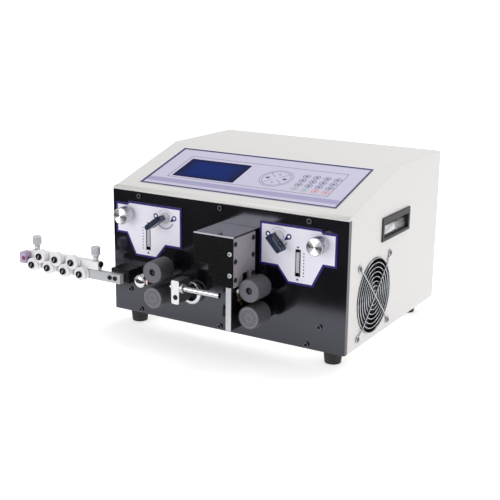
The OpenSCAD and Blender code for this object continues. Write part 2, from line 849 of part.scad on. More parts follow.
module lower_gear_shaft(s) color(bright_steel) on_side(s) translate([roller_dx, 0, lower_z]) {
  rod_y(shaft_d, -roller_front + 4, motor_y + motor_seat);
  slab_y(gear_y, gear_y + gear_t) gear_2d(gear_m, gear_teeth, tooth_thin, 90);
}

// Sliding plate that carries the upper shaft, with a window round the cam
module carrier(s) color(satin_alloy) on_side(s) difference() {
  union() {
    block(roller_dx - 13, roller_dx + 13, layer_y, layer_end, upper_z - 12, upper_z + 16);
    block(lever_dx - arm_half, lever_dx + arm_half, layer_y, layer_end, upper_z + 6, arm_top);
    block(roller_dx, pointer_dx + 10, layer_y, layer_end, upper_z - shelf_t, upper_z);
  }
  translate([roller_dx, 0, upper_z]) rod_y(shaft_d + 2 * run_gap, 0, layer_end + 1);
  block(lever_dx - cam_high - 2, lever_dx + cam_high + 2, 0, layer_end + 1,
    lever_z - cam_high - 2, lever_z + cam_high + cam_gap);
}

// Spiral cam whose radius falls evenly over the lever's turn
module cam_2d() polygon([
  for (a = [0:5:355])
    let (r = a <= lever_turn ? cam_high - close_travel * a / lever_turn
        : a < 300 ? cam_low : cam_low + close_travel * (a - 300) / 60)
    polar(r, 90 + a)
]);

module release_lever(s) on_side(s) translate([lever_dx, 0, lever_z]) {
  color(bright_steel) {
    rod_y(spindle_d, -lever_face, layer_end);
    slab_y(layer_y + slide_gap, layer_end) cam_2d();
  }
  color(satin_black) rotate([0, s < 0 ? lever_left : lever_right, 0]) {
    rod_y(lever_base_d, -lever_base_t, -scale_t - slide_gap);
    block(-lever_tail, lever_len - lever_w / 2, -lever_face, -lever_base_t + 1,
      -lever_w / 2, lever_w / 2);
    translate([lever_len - lever_w / 2, 0, 0]) rod_y(lever_w, -lever_face, -lever_base_t + 1);
  }
}

module pressure_knob(s) color(satin_alloy) on_side(s) translate([knob_dx, 0, knob_z]) {
  rod_y(knob_d, -knob_len - 4, -4);
  rod_y(spindle_d + 4, -5, -scale_t - slide_gap);
  rod_y(spindle_d, -5, layer_end);
  slab_y(layer_y, layer_end) gear_2d(pinion_m, pinion_teeth, tooth_thin);
}

// Rack and pointer that set the spring pressure
module pressure_slider(s) color(satin_alloy) on_side(s) {
  reach = pointer_travel + 2.2 * pinion_m;
  inner = lever_dx + arm_half + slide_gap + rib_t + slide_gap;
  rack_x = knob_dx - knob_pinion_r;
  low = pointer_z - slider_arm_h / 2;
  translate([rack_x, 0, knob_z]) slab_y(layer_y, layer_end)
    rack_2d(pinion_m, low - knob_z, reach, tooth_thin, rack_back);
  block(inner, rack_x - 1.15 * pinion_m - 1, layer_y, layer_end, low, low + slider_arm_h);
  half = slot_w / 2 - 2 * slide_gap;
  translate([pointer_dx, 0, pointer_z]) {
    block(-half, half, slide_gap, plate_t, -pointer_h / 2, pointer_h / 2);
    block(-half, half, plate_t - 1, layer_y + 1, -pointer_stem / 2, pointer_stem / 2);
  }
}

// Round wire wound into an open coil that stands on Z = 0
module coil(d, wire, height, turns) {
  sides = 6;
  rings = 12 * turns;
  rise = (height - wire) / rings;
  points = [
    for (i = [0:rings], j = [0:sides - 1])
      let (r = (d - wire) / 2 + wire / 2 * cos(360 * j / sides), a = 360 * turns * i / rings)
      [r * cos(a), r * sin(a), wire / 2 + i * rise + wire / 2 * sin(360 * j / sides)]
  ];
  skin = [
    for (i = [0:rings - 1], j = [0:sides - 1])
      let (k = (j + 1) % sides)
      [i * sides + j, (i + 1) * sides + j, (i + 1) * sides + k, i * sides + k]
  ];
  start = [for (j = [0:sides - 1]) j];
  finish = [for (j = [sides - 1:-1:0]) rings * sides + j];
  polyhedron(points, concat(skin, [start, finish]));
}

module pressure_springs() color(bright_steel) for (s = [LEFT, RIGHT]) on_side(s) {
  low = upper_z + 0.3;
  high = pointer_z - slider_arm_h / 2 - 0.3;
  translate([pointer_dx + 3, layer_y + layer_t / 2, low]) coil(spring_d, spring_wire, high - low, 5);
}

module blade_frame() color(satin_alloy) lift() difference() {
  union() {
    block(frame_x, frame_out, -head_front + cover_t, 0, frame_bottom, frame_top);
    block(frame_x - rail_t, frame_x + 1, rail_y, rail_y + rail_w, frame_bottom, frame_top);
  }
  translate([0, -wire_y, wire_z]) rod_x(wire_hole_d, frame_x - 1, frame_out + 1);
}

// Channel that rides on the frame's rail
module rail_channel() {
  play = slide_gap / 2;
  block(frame_x - rail_t - play, frame_x + 1, rail_y - play, rail_y + rail_w + play, 0, head_top);
}

module blade_cover() color(satin_black) lift() difference() {
  union() {
    block(cover_x, panel_out, -head_front, -fit_gap, step_z, head_top);
    block(recess_x - cover_t, panel_out, -head_front, -recess_y, head_bottom, step_z + 1);
    block(cover_x, frame_out, -recess_y - 1, -fit_gap, head_bottom, step_z + 1);
  }
  inner = -head_front + cover_t;
  under = step_z + cover_t;
  block(cover_x + cover_t, panel_out + 1, inner, 1, under, head_top - cover_t);
  block(recess_x, panel_out + 1, inner, 1, head_bottom - 1, under + 1);
  block(cover_x + cover_t, frame_out + 1, -recess_y - 1 + cover_t, 1, head_bottom - 1, under + 1);
}

module blade_side_panel() color("#7d7b80") lift() difference() {
  block(frame_out, panel_out, -head_front + cover_t + fit_gap, panel_back,
    head_bottom, head_top - cover_t - fit_gap);
  block(frame_out - 1, panel_out + 1, notch_front, notch_front + notch_w,
    head_bottom - 1, head_bottom + notch_h);
}

module blade_pinion() color(bright_steel) lift() translate([pinion_x, 0, blade_pinion_z]) {
  rod_y(shaft_d, -blade_pinion_front, motor_y + motor_seat);
  slab_y(-blade_pinion_front, -blade_pinion_back) gear_2d(blade_m, pinion_teeth, tooth_thin);
}

module upper_blade_carrier() color(satin_alloy) lift() {
  low = wire_z + blade_gap / 2 + upper_seat;
  bridge = blade_pinion_z + blade_pinion_r + 2 * blade_travel;
  top = bridge + bridge_h;
  reach = 2.6 * blade_m;
  rack_x = pinion_x - blade_pinion_r;
  difference() {
    union() {
      block(block_x, frame_x - slide_gap, -seat_front, -blade_pinion_back, low, top);
      block(rack_x - 1.15 * blade_m - rack_t, block_x + 1, -blade_pinion_front, -blade_pinion_back,
        bridge, top);
      translate([rack_x, 0, blade_pinion_z]) slab_y(-blade_pinion_front, -blade_pinion_back)
        rack_2d(blade_m, -reach, bridge - blade_pinion_z + 1, tooth_thin, rack_t);
    }
    rail_channel();
    blade_pocket(low - 1, low + 24);
  }
}

module lower_blade_carrier() color(satin_alloy) lift() {
  high = wire_z - blade_gap / 2 - lower_seat;
  low = high - lower_block_h;
  reach = 2.6 * blade_m;
  rack_x = pinion_x + blade_pinion_r;
  difference() {
    union() {
      block(block_x, frame_x - slide_gap, -wire_y + blade_w / 2, -blade_pinion_back, low, high);
      block(rack_x + 1.15 * blade_m, block_x + 1, -blade_pinion_front, -blade_pinion_back, low, high);
      block(block_x, frame_x - slide_gap, -wire_y - blade_w / 2 - 1, -wire_y + blade_w / 2 + 2,
        high - 12, high);
      translate([rack_x, 0, blade_pinion_z]) mirror([1, 0, 0])
        slab_y(-blade_pinion_front, -blade_pinion_back)
          rack_2d(blade_m, low - blade_pinion_z, reach, tooth_thin, rack_t);
    }
    rail_channel();
    blade_pocket(high - 13, high + 1);
  }
}

// Pocket that seats a blade in its carrier
module blade_pocket(z0, z1) {
  half = blade_w / 2 + fit_gap;
  block(block_x - 1, block_x + blade_t, -wire_y - half, -wire_y + half, z0, z1);
}

module blade_2d(edge, root) {
  notch = 2.5;
  half = blade_w / 2;
  translate([-wire_y, 0]) polygon([
    [-half, edge], [-4, edge], [0, edge + sign(root - edge) * notch], [4, edge],
    [half, edge], [half, root], [-half, root]
  ]);
}

module upper_blade() color(bright_steel) lift() {
  edge = wire_z + blade_gap / 2;
  slab_x(block_x, block_x + blade_t) blade_2d(edge, edge + 39.5);
}

module lower_blade() color(bright_steel) lift() {
  edge = wire_z - blade_gap / 2;
  slab_x(block_x, block_x + blade_t) blade_2d(edge, edge - 17.5);
}

// Block of the arm, with its two lower corners cut
module arm_outline() {
  half = arm_w / 2;
  low = arm_z - arm_foot;
  polygon([
    [-half, arm_top_z], [half, arm_top_z], [half, low + arm_bevel], [half - arm_bevel, low],
    [arm_bevel - half, low], [-half, low + arm_bevel]
  ]);
}

module conduit_arm() color(satin_alloy) lift() difference() {
  union() {
    translate([pivot_x, 0, 0]) slab_y(-arm_front, -arm_back) arm_outline();
    translate([pivot_x, 0, arm_z]) rod_y(shaft_d, -arm_back - 1, plate_t + 14);
  }
  translate([0, -wire_y, wire_z]) rod_x(tube_od + 2 * run_gap, pivot_x - arm_w, pivot_x + arm_w);
  translate([pivot_x, 0, arm_z]) slab_y(-arm_front - 1, -arm_front + 3) circle(d = 5, $fn = 6);
}

module conduit_tube() color(bright_steel) lift() translate([0, -wire_y, wire_z]) difference() {
  rod_x(tube_od, tube_start, tube_end);
  rod_x(tube_bore, tube_start - 1, tube_end + 1);
}

module inlet_post() color(bright_steel) lift() translate([mech_x - post_dx, 0, wire_z]) difference() {
  rod_y(post_d, -wire_y - 6, 0);
  translate([0, -wire_y, 0]) rod_x(eyelet_od() + 2 * run_gap, -post_d, post_d);
}

function eyelet_od() = 10;
function eyelet_bore() = 6.2;

module inlet_eyelet() color("#e9c9cf") lift() translate([mech_x - post_dx, -wire_y, wire_z]) difference() {
  rod_x(eyelet_od(), -post_d / 2 - 1, post_d / 2 + 3);
  rod_x(eyelet_bore(), -post_d, post_d);
}

module straightener_bar() color(satin_alloy) lift() difference() {
  block(st_left, st_end, -st_back, -st_back + st_bar_t, st_low_z - 8, st_split - st_close - 0.3);
  for (k = [0:3]) translate([st_last - k * st_pitch, 0, st_low_z])
    rod_y(axle_d + 2 * run_gap, -st_back - 1, -st_back + axle_seat + 0.2);
  for (x = [thumb_left_x, thumb_right_x]) translate([x, -st_back + st_bar_t / 2, st_split - thumb_foot])
    cylinder(d = thumb_shank + 2 * run_gap, h = 2 * thumb_foot);
  for (x = bar_screws()) translate([x, 0, st_bar_z()])
    rod_y(bar_screw_d + 2 * run_gap, -st_back - 1, 0);
}

module straightener_bracket() color(satin_black) lift() difference() {
  block(st_end - 24, st_end + 10, -st_back + st_bar_t, 0, st_low_z - 8, wire_z + 5);
  for (x = bar_screws()) translate([x, 0, st_bar_z()])
    rod_y(bar_screw_d + 2 * run_gap, -st_back, -st_back + st_bar_t + bar_screw_seat + 1);
}

// Shoulder screw that a straightener roller turns on
module axle() difference() {
  union() {
    rod_y(axle_d, -st_face - axle_gap, -st_back + axle_seat);
    rod_y(axle_head_d, -st_face - axle_gap - axle_head_t, -st_face - axle_gap);
  }
  slab_y(-st_face - 4, -st_face - axle_gap - 0.6) circle(d = 4.6, $fn = 6);
}

module lower_axles() color("#2a2b2d") lift()
  for (k = [0:3]) translate([st_last - k * st_pitch, 0, st_low_z]) axle();

module upper_axles() color("#2a2b2d") lift()
  for (k = [0:2]) translate([st_last - (k + 0.5) * st_pitch, 0, st_high_z]) axle();

// Rollers 1 to 4 are the lower row, 5 to 7 the upper row, from the left
module straightener_roller(n) {
  x = n <= 4 ? st_last - (4 - n) * st_pitch : st_last - (7 - n + 0.5) * st_pitch;
  r = st_roller_d / 2;
  half = st_roller_len / 2;
  bore = axle_d / 2 + run_gap;
  color(nylon_white) lift() translate([x, -wire_y, n <= 4 ? st_low_z : st_high_z]) rotate([90, 0, 0])
    rotate_extrude() polygon([
      [bore, 0.3 - half], [r - 1, 0.3 - half], [r, 1.3 - half], [r, -2], [r - 1.5, 0],
      [r, 2], [r, half - 1], [r - 1, half], [bore, half]
    ]);
}

module straightener_slide() color(satin_alloy) lift() difference() {
  block(st_left, thumb_right_x + 8, -st_back, -st_back + st_bar_t, st_split, st_slide_top);
  for (k = [0:2]) translate([st_last - (k + 0.5) * st_pitch, 0, st_high_z])
    rod_y(axle_d + 2 * run_gap, -st_back - 1, -st_back + axle_seat + 0.2);
  for (x = [thumb_left_x, thumb_right_x]) translate([x, -st_back + st_bar_t / 2, 0])
    cylinder(d = thumb_shank + 2 * run_gap, h = 2 * wire_z);
}

module thumb_screw(x) color(bright_steel) lift() translate([x, -st_back + st_bar_t / 2, 0]) {
  translate([0, 0, st_split - thumb_foot + 0.3])
    cylinder(d = thumb_shank, h = thumb_z - st_split + thumb_foot);
  translate([0, 0, thumb_z]) cylinder(d = thumb_neck_d, h = thumb_neck_h + 1);
  translate([0, 0, thumb_z + thumb_neck_h]) cylinder(d = thumb_d, h = thumb_h - thumb_neck_h);
}

module entry_eyelet() color("#8d7f95") lift() translate([st_left, -wire_y, wire_z]) difference() {
  block(-entry_t, 0, -7, 10, -8, 10);
  rod_x(eyelet_bore(), -entry_t - 1, 1);
}

casing();
chassis_tray();
front_plate();
feet();
panel_screws();
printed_films();
display_module();
electronics();
power_inlet();
power_rocker();
side_handles();
fan_frame();
fan_guard();
fan_rotor();
stepper_motors();
shaft_bushes();
blade_frame();
blade_cover();
blade_side_panel();
blade_pinion();
upper_blade_carrier();
upper_blade();
lower_blade_carrier();
lower_blade();
conduit_arm();
conduit_tube();
inlet_post();
inlet_eyelet();
straightener_bar();
straightener_bracket();
lower_axles();
entry_eyelet();
straightener_slide();
upper_axles();
thumb_screw(thumb_left_x);  // thumb_screw_left
thumb_screw(thumb_right_x);  // thumb_screw_right
straightener_roller(1);  // straightener_roller_1
straightener_roller(2);  // straightener_roller_2
straightener_roller(3);  // straightener_roller_3
straightener_roller(4);  // straightener_roller_4
straightener_roller(5);  // straightener_roller_5
straightener_roller(6);  // straightener_roller_6
straightener_roller(7);  // straightener_roller_7
pressure_springs();
upper_roller(LEFT);  // left_upper_roller
upper_gear_shaft(LEFT);  // left_upper_gear_shaft
lower_roller(LEFT);  // left_lower_roller
lower_gear_shaft(LEFT);  // left_lower_gear_shaft
carrier(LEFT);  // left_carrier
pressure_knob(LEFT);  // left_pressure_knob
pressure_slider(LEFT);  // left_pressure_slider
release_lever(LEFT);  // left_release_lever
upper_roller(RIGHT);  // right_upper_roller
upper_gear_shaft(RIGHT);  // right_upper_gear_shaft
lower_roller(RIGHT);  // right_lower_roller
lower_gear_shaft(RIGHT);  // right_lower_gear_shaft
carrier(RIGHT);  // right_carrier
pressure_knob(RIGHT);  // right_pressure_knob
pressure_slider(RIGHT);  // right_pressure_slider
release_lever(RIGHT);  // right_release_lever
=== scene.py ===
# %% [markdown]
# A bench machine that feeds, cuts and strips electric wire. Its working parts come from the CAD model,
# so this lesson dresses them: edges that catch light, true finishes, printed films, a wire guard,
# screws and knurls. Everything is in metres, in the CAD model's own frame.

# %% Load the CAD model
import json
import math

import bmesh
import bpy
from mathutils import Matrix, Vector

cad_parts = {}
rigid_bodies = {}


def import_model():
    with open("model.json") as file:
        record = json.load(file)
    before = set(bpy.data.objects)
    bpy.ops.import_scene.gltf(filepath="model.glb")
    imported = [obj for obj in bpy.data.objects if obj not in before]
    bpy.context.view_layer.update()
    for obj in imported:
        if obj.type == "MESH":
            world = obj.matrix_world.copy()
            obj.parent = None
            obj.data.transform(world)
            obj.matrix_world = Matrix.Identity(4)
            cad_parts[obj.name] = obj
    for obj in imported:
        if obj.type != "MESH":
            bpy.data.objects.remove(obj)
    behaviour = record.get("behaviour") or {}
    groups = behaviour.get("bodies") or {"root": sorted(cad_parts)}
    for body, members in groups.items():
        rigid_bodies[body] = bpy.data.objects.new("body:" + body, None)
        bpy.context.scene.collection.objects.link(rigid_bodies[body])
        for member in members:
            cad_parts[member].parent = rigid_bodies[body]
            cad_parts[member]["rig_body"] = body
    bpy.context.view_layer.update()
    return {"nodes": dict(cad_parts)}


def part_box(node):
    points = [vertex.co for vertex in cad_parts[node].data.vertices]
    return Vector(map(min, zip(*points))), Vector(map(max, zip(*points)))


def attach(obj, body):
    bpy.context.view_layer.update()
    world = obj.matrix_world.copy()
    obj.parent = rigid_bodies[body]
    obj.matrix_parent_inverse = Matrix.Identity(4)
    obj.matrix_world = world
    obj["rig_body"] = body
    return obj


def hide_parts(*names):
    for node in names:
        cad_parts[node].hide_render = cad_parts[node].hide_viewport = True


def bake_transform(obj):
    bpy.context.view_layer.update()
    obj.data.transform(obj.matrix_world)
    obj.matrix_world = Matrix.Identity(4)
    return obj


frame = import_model()

# %% [markdown]
# The maker measures this machine from the front plate: its face, its bottom edge and its middle.
# We do the same, in millimetres, so a number read off the plate goes straight into the script.
# The sloping panel gets its own two directions, across and up the slope.

# %% Measure from the front plate
MM = 0.001
MECH_X = -5
PLATE_H, NOSE_H, NOSE_D = 194, 5, 8
BODY_H, SLOPE_D = 246, 169
SLOPE = math.atan((BODY_H - PLATE_H - NOSE_H) / (SLOPE_D - NOSE_D))
plate_low, plate_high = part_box("front_plate")
DATUM = Vector(((plate_low.x + plate_high.x) / 2, plate_low.y, plate_low.z))


def spot(x, y, z):
    """A point in millimetres from the plate's face, bottom edge and middle."""
    return DATUM + Vector((x, y, z)) * MM


def on_plate(u, v, out):
    """A point of a film on the plate: across, up, and out of its face."""
    return spot(u, -out, v)


def on_slope(u, v, out):
    """A point of the sloping panel: across, up the slope, and out of it."""
    return spot(u, NOSE_D + v * math.cos(SLOPE) - out * math.sin(SLOPE),
                PLATE_H + NOSE_H + v * math.sin(SLOPE) + out * math.cos(SLOPE))


print("datum", [round(c, 4) for c in DATUM])

# %% [markdown]
# The camera stands to the right and a little above, about 1.5 m away, with a short telephoto lens.
# Its turn, rise and small roll were solved from the machine's straight edges in the picture.

# %% Camera


def placed(name, data):
    """A new object in the scene."""
    made = bpy.data.objects.new(name, data)
    bpy.context.scene.collection.objects.link(made)
    return made


TURN, RISE, ROLL = (math.radians(angle) for angle in (30.82, 15.142, 0.693))
back = Vector((math.sin(TURN) * math.cos(RISE), -math.cos(TURN) * math.cos(RISE), math.sin(RISE)))
right = Vector((math.cos(TURN), math.sin(TURN), 0))
up = back.cross(right)
side = right * math.cos(ROLL) + up * math.sin(ROLL)
head = up * math.cos(ROLL) - right * math.sin(ROLL)
eye = spot(763.71, -1202.97, 511.0)
lens = bpy.data.cameras.new("camera")
lens.sensor_width = 36
lens.lens = 72.2
lens.clip_start, lens.clip_end = 0.05, 200
camera = placed("camera", lens)
camera.matrix_world = Matrix((*zip(side, head, back, eye), (0, 0, 0, 1)))
bpy.context.scene.camera = camera
bpy.context.scene.view_settings.view_transform = "Standard"
print("camera", [round(c, 3) for c in eye], "lens", lens.lens)

# %% [markdown]
# Finishes are node materials. One function turns the usual hex colour codes into the linear values
# that a shader works with, and one adds any node with its settings and links. A third starts a
# material and sets the numbers that are the same all over its surface.

# %% Helpers for finishes


def linear(code):
    """Linear colour of an sRGB hex code."""
    parts = [int(code[i:i + 2], 16) / 255 for i in (1, 3, 5)]
    return [c / 12.92 if c <= 0.04045 else ((c + 0.055) / 1.055) ** 2.4 for c in parts] + [1.0]


def add(tree, kind, inputs=None, **settings):
    """Adds a node. An input is a value, or the socket that feeds it."""
    made = tree.nodes.new(kind)
    for name, value in settings.items():
        setattr(made, name, value)
    for name, value in (inputs or {}).items():
        if isinstance(value, bpy.types.NodeSocket):
            tree.links.new(value, made.inputs[name])
        else:
            made.inputs[name].default_value = value
    return made


def finish(name, **constants):
    """A new material, its node tree, its shader and the object's own coordinates."""
    made = bpy.data.materials.new(name)
    made.use_nodes = True
    tree = made.node_tree
    shader = tree.nodes["Principled BSDF"]
    for socket, value in constants.items():
        shader.inputs[socket.replace("_", " ")].default_value = value
    return made, tree, shader, add(tree, "ShaderNodeTexCoord").outputs["Object"]


print("finish helpers ready")

# %% [markdown]
# No real surface is one flat colour. One noise, with a grain given in millimetres, moves the colour,
# the roughness and a very small relief together, as dust, orange peel or tool marks do.

# %% One noise for colour, roughness and relief


def vary(made, size, colours, rough, bump, detail=3.0, stretch=(1, 1, 1)):
    """Gives a finish two colours, two roughnesses and a relief of bump millimetres."""
    used, tree, shader, where = made
    place = add(tree, "ShaderNodeMapping", {"Vector": where, "Scale": stretch}).outputs["Vector"]
    noise = add(tree, "ShaderNodeTexNoise", {"Vector": place, "Scale": 1 / (size * MM), "Detail": detail})
    ramp = add(tree, "ShaderNodeValToRGB", {"Fac": noise.outputs["Fac"]})
    for end, position, code in zip(ramp.color_ramp.elements, (0.3, 0.7), colours):
        end.position, end.color = position, linear(code)
    tree.links.new(ramp.outputs["Color"], shader.inputs["Base Color"])
    spread = add(tree, "ShaderNodeMapRange", {"Value": noise.outputs["Fac"], "From Min": 0.3,
                                              "From Max": 0.7, "To Min": rough[0], "To Max": rough[1]})
    tree.links.new(spread.outputs["Result"], shader.inputs["Roughness"])
    relief = add(tree, "ShaderNodeBump", {"Height": noise.outputs["Fac"], "Distance": bump * MM,
                                          "Strength": 0.6})
    tree.links.new(relief.outputs["Normal"], shader.inputs["Normal"])
    return used


print("noise helper ready")

# %% [markdown]
# Powder coat is sprayed as dry powder and baked, so it is slightly pebbled, like orange peel, with
# dimples about 1.5 mm apart. Its warm grey white varies a little from patch to patch. The front plate
# is polished black, so it mirrors the pale table low down and the dark room above.

# %% Coatings
ivory = vary(finish("powder_coat_ivory", IOR=1.5), 1.5, ("#d9d7d5", "#dedcdb"), (0.42, 0.52), 0.03)
gloss_black = vary(finish("gloss_black_enamel", IOR=1.8, Specular_Tint=(0.84, 0.84, 1, 1)), 40,
                   ("#08080b", "#0c0c10"), (0.12, 0.16), 0.02, 1.0)
satin_black = vary(finish("satin_black_coat", IOR=1.4), 1.2, ("#08080a", "#0b0b0d"), (0.24, 0.32), 0.02)
grey_coat = vary(finish("grey_coated_steel", IOR=1.5), 2.0, ("#8a848b", "#979198"), (0.38, 0.5), 0.03)
top_black = vary(finish("gloss_black_sheet", IOR=1.5, Specular_Tint=(0.9, 0.9, 1, 1)), 1.4,
                 ("#2b2a30", "#323138"), (0.1, 0.16), 0.01, 3.0, (0.1, 1, 1))
print("coatings made")

# %% [markdown]
# Metals. Ground steel shows streaks along the cut, and satin aluminium has wide, even highlights.
# Blasted aluminium and satin nickel scatter light almost as paint does, so they are only partly
# metallic. Blackened steel is oiled and dull, plated wire is almost a mirror, and brass is warm.
# Anodised aluminium wears a dark glassy skin, so it is no metal to the eye.

# %% Metals
steel = vary(finish("ground_steel", Metallic=1.0), 0.8, ("#c3c4c8", "#d6d7da"), (0.14, 0.26), 0.01, 2.0,
             (0.05, 1, 1))
aluminium = vary(finish("satin_aluminium", Metallic=1.0), 1.0, ("#cdced2", "#dedfe2"), (0.28, 0.4), 0.015,
                 3.0, (0.12, 1, 1))
bright_satin = vary(finish("blasted_bright_aluminium", Metallic=0.15), 0.9, ("#e6e7ea", "#efeff1"),
                    (0.4, 0.5), 0.015)
nickel = vary(finish("satin_nickel", Metallic=0.4), 0.9, ("#c6c7cd", "#d3d4d9"), (0.3, 0.4), 0.01)
dark_steel = vary(finish("blackened_steel", Metallic=1.0), 0.9, ("#26262a", "#36363b"), (0.3, 0.45), 0.02)
chrome = vary(finish("bright_plated_steel", Metallic=1.0), 3.0, ("#d3d5d9", "#e2e3e6"), (0.06, 0.14),
              0.005)
guard_wire = vary(finish("plated_guard_wire", Metallic=1.0), 3.0, ("#a9abb0", "#bcbec2"), (0.12, 0.2),
                  0.005)
brass = vary(finish("brass_strip", Metallic=1.0), 1.5, ("#c9b484", "#dcca9c"), (0.25, 0.38), 0.01)
turned = vary(finish("turned_aluminium", Metallic=1.0), 1.2, ("#d0d1d5", "#dcdde0"), (0.2, 0.3), 0.005)
anodised = vary(finish("dark_anodised_aluminium", IOR=1.5), 1.0, ("#3d3d43", "#48484e"), (0.32, 0.42),
                0.01)
print("metals made")

# %% [markdown]
# Plastics and rubber. Moulded plastic copies the fine spark grain of its tool, rubber is duller and dusty,
# nylon lets some light in, glazed ceramic is hard and shiny, and a display glows a little. One dull grey
# serves the fan's screw heads, whose oxide is rubbed, and the rims of the plate's screws, where it is a
# painted highlight.

# %% Plastics, rubber and ceramic
moulded = vary(finish("moulded_black_plastic", IOR=1.5), 0.7, ("#121214", "#1a1a1d"), (0.42, 0.56), 0.03)
# The lever's slate blue is partly its black plastic and partly painted sheen, lighter and bluer for the
# highlights along the fin's sides.
lever_black_and_sheen = vary(finish("polished_black_plastic_and_sheen", IOR=1.9, Specular_Tint=(0.72, 0.82, 1, 1)), 3.0,
                   ("#1f2535", "#2c354b"), (0.1, 0.16), 0.01)
feed_rubber = vary(finish("ground_feed_rubber", IOR=1.5), 1.3, ("#3c3c42", "#4a4a51"), (0.46, 0.6), 0.05,
                   4.0)
# grey of rubbed oxide on the fan screws, and a painted highlight on the plate screws' rims
screw_grey_and_rim_highlight = vary(finish("screw_oxide_and_rim_highlight", IOR=1.5), 1.0, ("#5d5b62", "#6a686f"), (0.3, 0.4), 0.01)
face_rubber = vary(finish("ground_roller_face", IOR=1.5), 1.3, ("#5a5961", "#66656d"), (0.5, 0.6), 0.03)
foot_rubber = vary(finish("foot_rubber", IOR=1.5), 1.5, ("#131315", "#1d1d1f"), (0.6, 0.75), 0.05)
nylon = vary(finish("white_nylon", IOR=1.53, Subsurface_Weight=0.05, Subsurface_Scale=0.002), 2.5,
             ("#e6e4e7", "#eceaed"), (0.35, 0.48), 0.01)
film = vary(finish("lavender_film", IOR=1.5), 0.9, ("#e2e0ec", "#e8e6f2"), (0.36, 0.46), 0.01)
glaze, red_glaze = (
    vary(finish(name, IOR=1.55, Coat_Weight=0.5, Coat_Roughness=0.05), 2.0, colours, (0.12, 0.22), 0.01)
    for name, colours in (("pink_glazed_ceramic", ("#e6b9bd", "#f0d2d4")),
                          ("dark_red_glaze", ("#5d1420", "#7a1f2c"))))
magenta = vary(finish("magenta_bush", IOR=1.5), 2.0, ("#7f2557", "#922f66"), (0.3, 0.4), 0.01)
mauve = vary(finish("mauve_plastic", IOR=1.5), 1.0, ("#a796b2", "#b7a7c1"), (0.36, 0.46), 0.01)
screen = vary(finish("blue_display", Specular_IOR_Level=0.05, Emission_Color=linear("#1c2a7c"),
                     Emission_Strength=0.05), 60, ("#021e60", "#06256a"), (0.45, 0.55), 0.002, 1.0)
print("plastics made")

# %% [markdown]
# The display's blue is darkened towards its rim: painted shade, where the window's edge shades it. The
# distance from the middle, measured along and up the window, darkens the blue towards the four edges.

# %% Display rim: painted shade
SCREEN_U, SCREEN_V = (-132, -20), (50.7, 113.3)
RIM_PAINTED_SHADE_START = 0.5
centre = on_slope(sum(SCREEN_U) / 2, sum(SCREEN_V) / 2, 0)
half = on_slope(SCREEN_U[1], SCREEN_V[1], 0) - centre
tree = screen.node_tree
blue = tree.nodes["Principled BSDF"].inputs["Base Color"]
plain_blue = blue.links[0].from_socket
own = tree.nodes["Texture Coordinate"].outputs["Object"]
split = add(tree, "ShaderNodeSeparateXYZ", {"Vector": own})
shares = []
for axis in (0, 1):
    shift = add(tree, "ShaderNodeMath", {0: split.outputs[axis], 1: centre[axis]}, operation="SUBTRACT")
    share = add(tree, "ShaderNodeMath", {0: shift.outputs[0], 1: half[axis]}, operation="DIVIDE")
    shares.append(add(tree, "ShaderNodeMath", {0: share.outputs[0]}, operation="ABSOLUTE").outputs[0])
far = add(tree, "ShaderNodeMath", {0: shares[0], 1: shares[1]}, operation="MAXIMUM").outputs[0]
# painted shade: the blue darkens towards the window's four edges
rim = add(tree, "ShaderNodeMapRange", {"Value": far, "From Min": RIM_PAINTED_SHADE_START, "From Max": 1.0},
          interpolation_type="SMOOTHSTEP").outputs["Result"]
rim_painted_shade = add(tree, "ShaderNodeMixRGB", {"Fac": rim, "Color1": plain_blue, "Color2": linear("#0f1339")})
tree.links.new(rim_painted_shade.outputs["Color"], blue)
print("display", [round(c / MM * 2) for c in half])

# %% [markdown]
# Screen-printed inks lie on the films as thin layers, so each is a mesh a tenth of a millimetre
# thick. Their colour breathes a little, as a squeegee leaves it.

# %% Inks
inks = {}
for name, low, high in (("indigo", "#170d64", "#1f1472"), ("navy", "#22225a", "#2b2b68"),
                        ("lavender", "#9d98be", "#a6a1c5"), ("panel", "#c2bfd6", "#c9c6db"),
                        ("white", "#f1f0f7", "#f7f6fb"), ("grey", "#8e8c9c", "#9a98a8"),
                        ("black", "#17171c", "#222228"), ("red", "#d0694f", "#da7c62"),
                        ("green", "#7fa89c", "#8db4a8")):
    inks[name] = vary(finish(name + "_ink", IOR=1.45), 1.2, (low, high), (0.4, 0.5), 0.005)
print("inks", len(inks))

# %% [markdown]
# The CAD solids have knife-sharp edges, which no real part has. A copy of a node's mesh is merged,
# its flat faces are joined again, and its long edges get a small bevel that catches the light.

# %% A softened copy of a CAD node


def softened(node, radius, used, shortest=1.4, limit=28):
    """A bevelled copy that stands for a CAD node. Edges shorter than shortest stay sharp."""
    mesh = bpy.data.meshes.new(node + "_soft")
    work = bmesh.new()
    work.from_mesh(frame["nodes"][node].data)
    bmesh.ops.remove_doubles(work, verts=work.verts, dist=1e-6)
    bmesh.ops.dissolve_limit(work, angle_limit=math.radians(0.4), verts=work.verts, edges=work.edges)
    weight = work.edges.layers.float.new("bevel_weight_edge")
    for edge in work.edges:
        sharp = edge.is_manifold and edge.calc_face_angle(0) > math.radians(limit)
        edge.smooth = not sharp
        edge[weight] = 1.0 if sharp and edge.calc_length() > shortest * MM else 0.0
    for face in work.faces:
        face.smooth = True
    work.to_mesh(mesh)
    work.free()
    if "custom_normal" in mesh.attributes:
        mesh.attributes.remove(mesh.attributes["custom_normal"])
    mesh.materials.append(used)
    piece = placed(node + "_soft", mesh)
    bevel = piece.modifiers.new("edges", "BEVEL")
    bevel.limit_method, bevel.width, bevel.segments = "WEIGHT", radius * MM, 2
    bevel.use_clamp_overlap = True
    bevel.harden_normals = True
    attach(piece, frame["nodes"][node]["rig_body"])
    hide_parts(node)


print("softening ready")

# %% [markdown]
# Sheet metal is folded, so the casing gets the widest edge, 1.6 mm. Machined blocks are broken with a
# file, about half a millimetre, and moulded or rubber parts come round out of their tool.

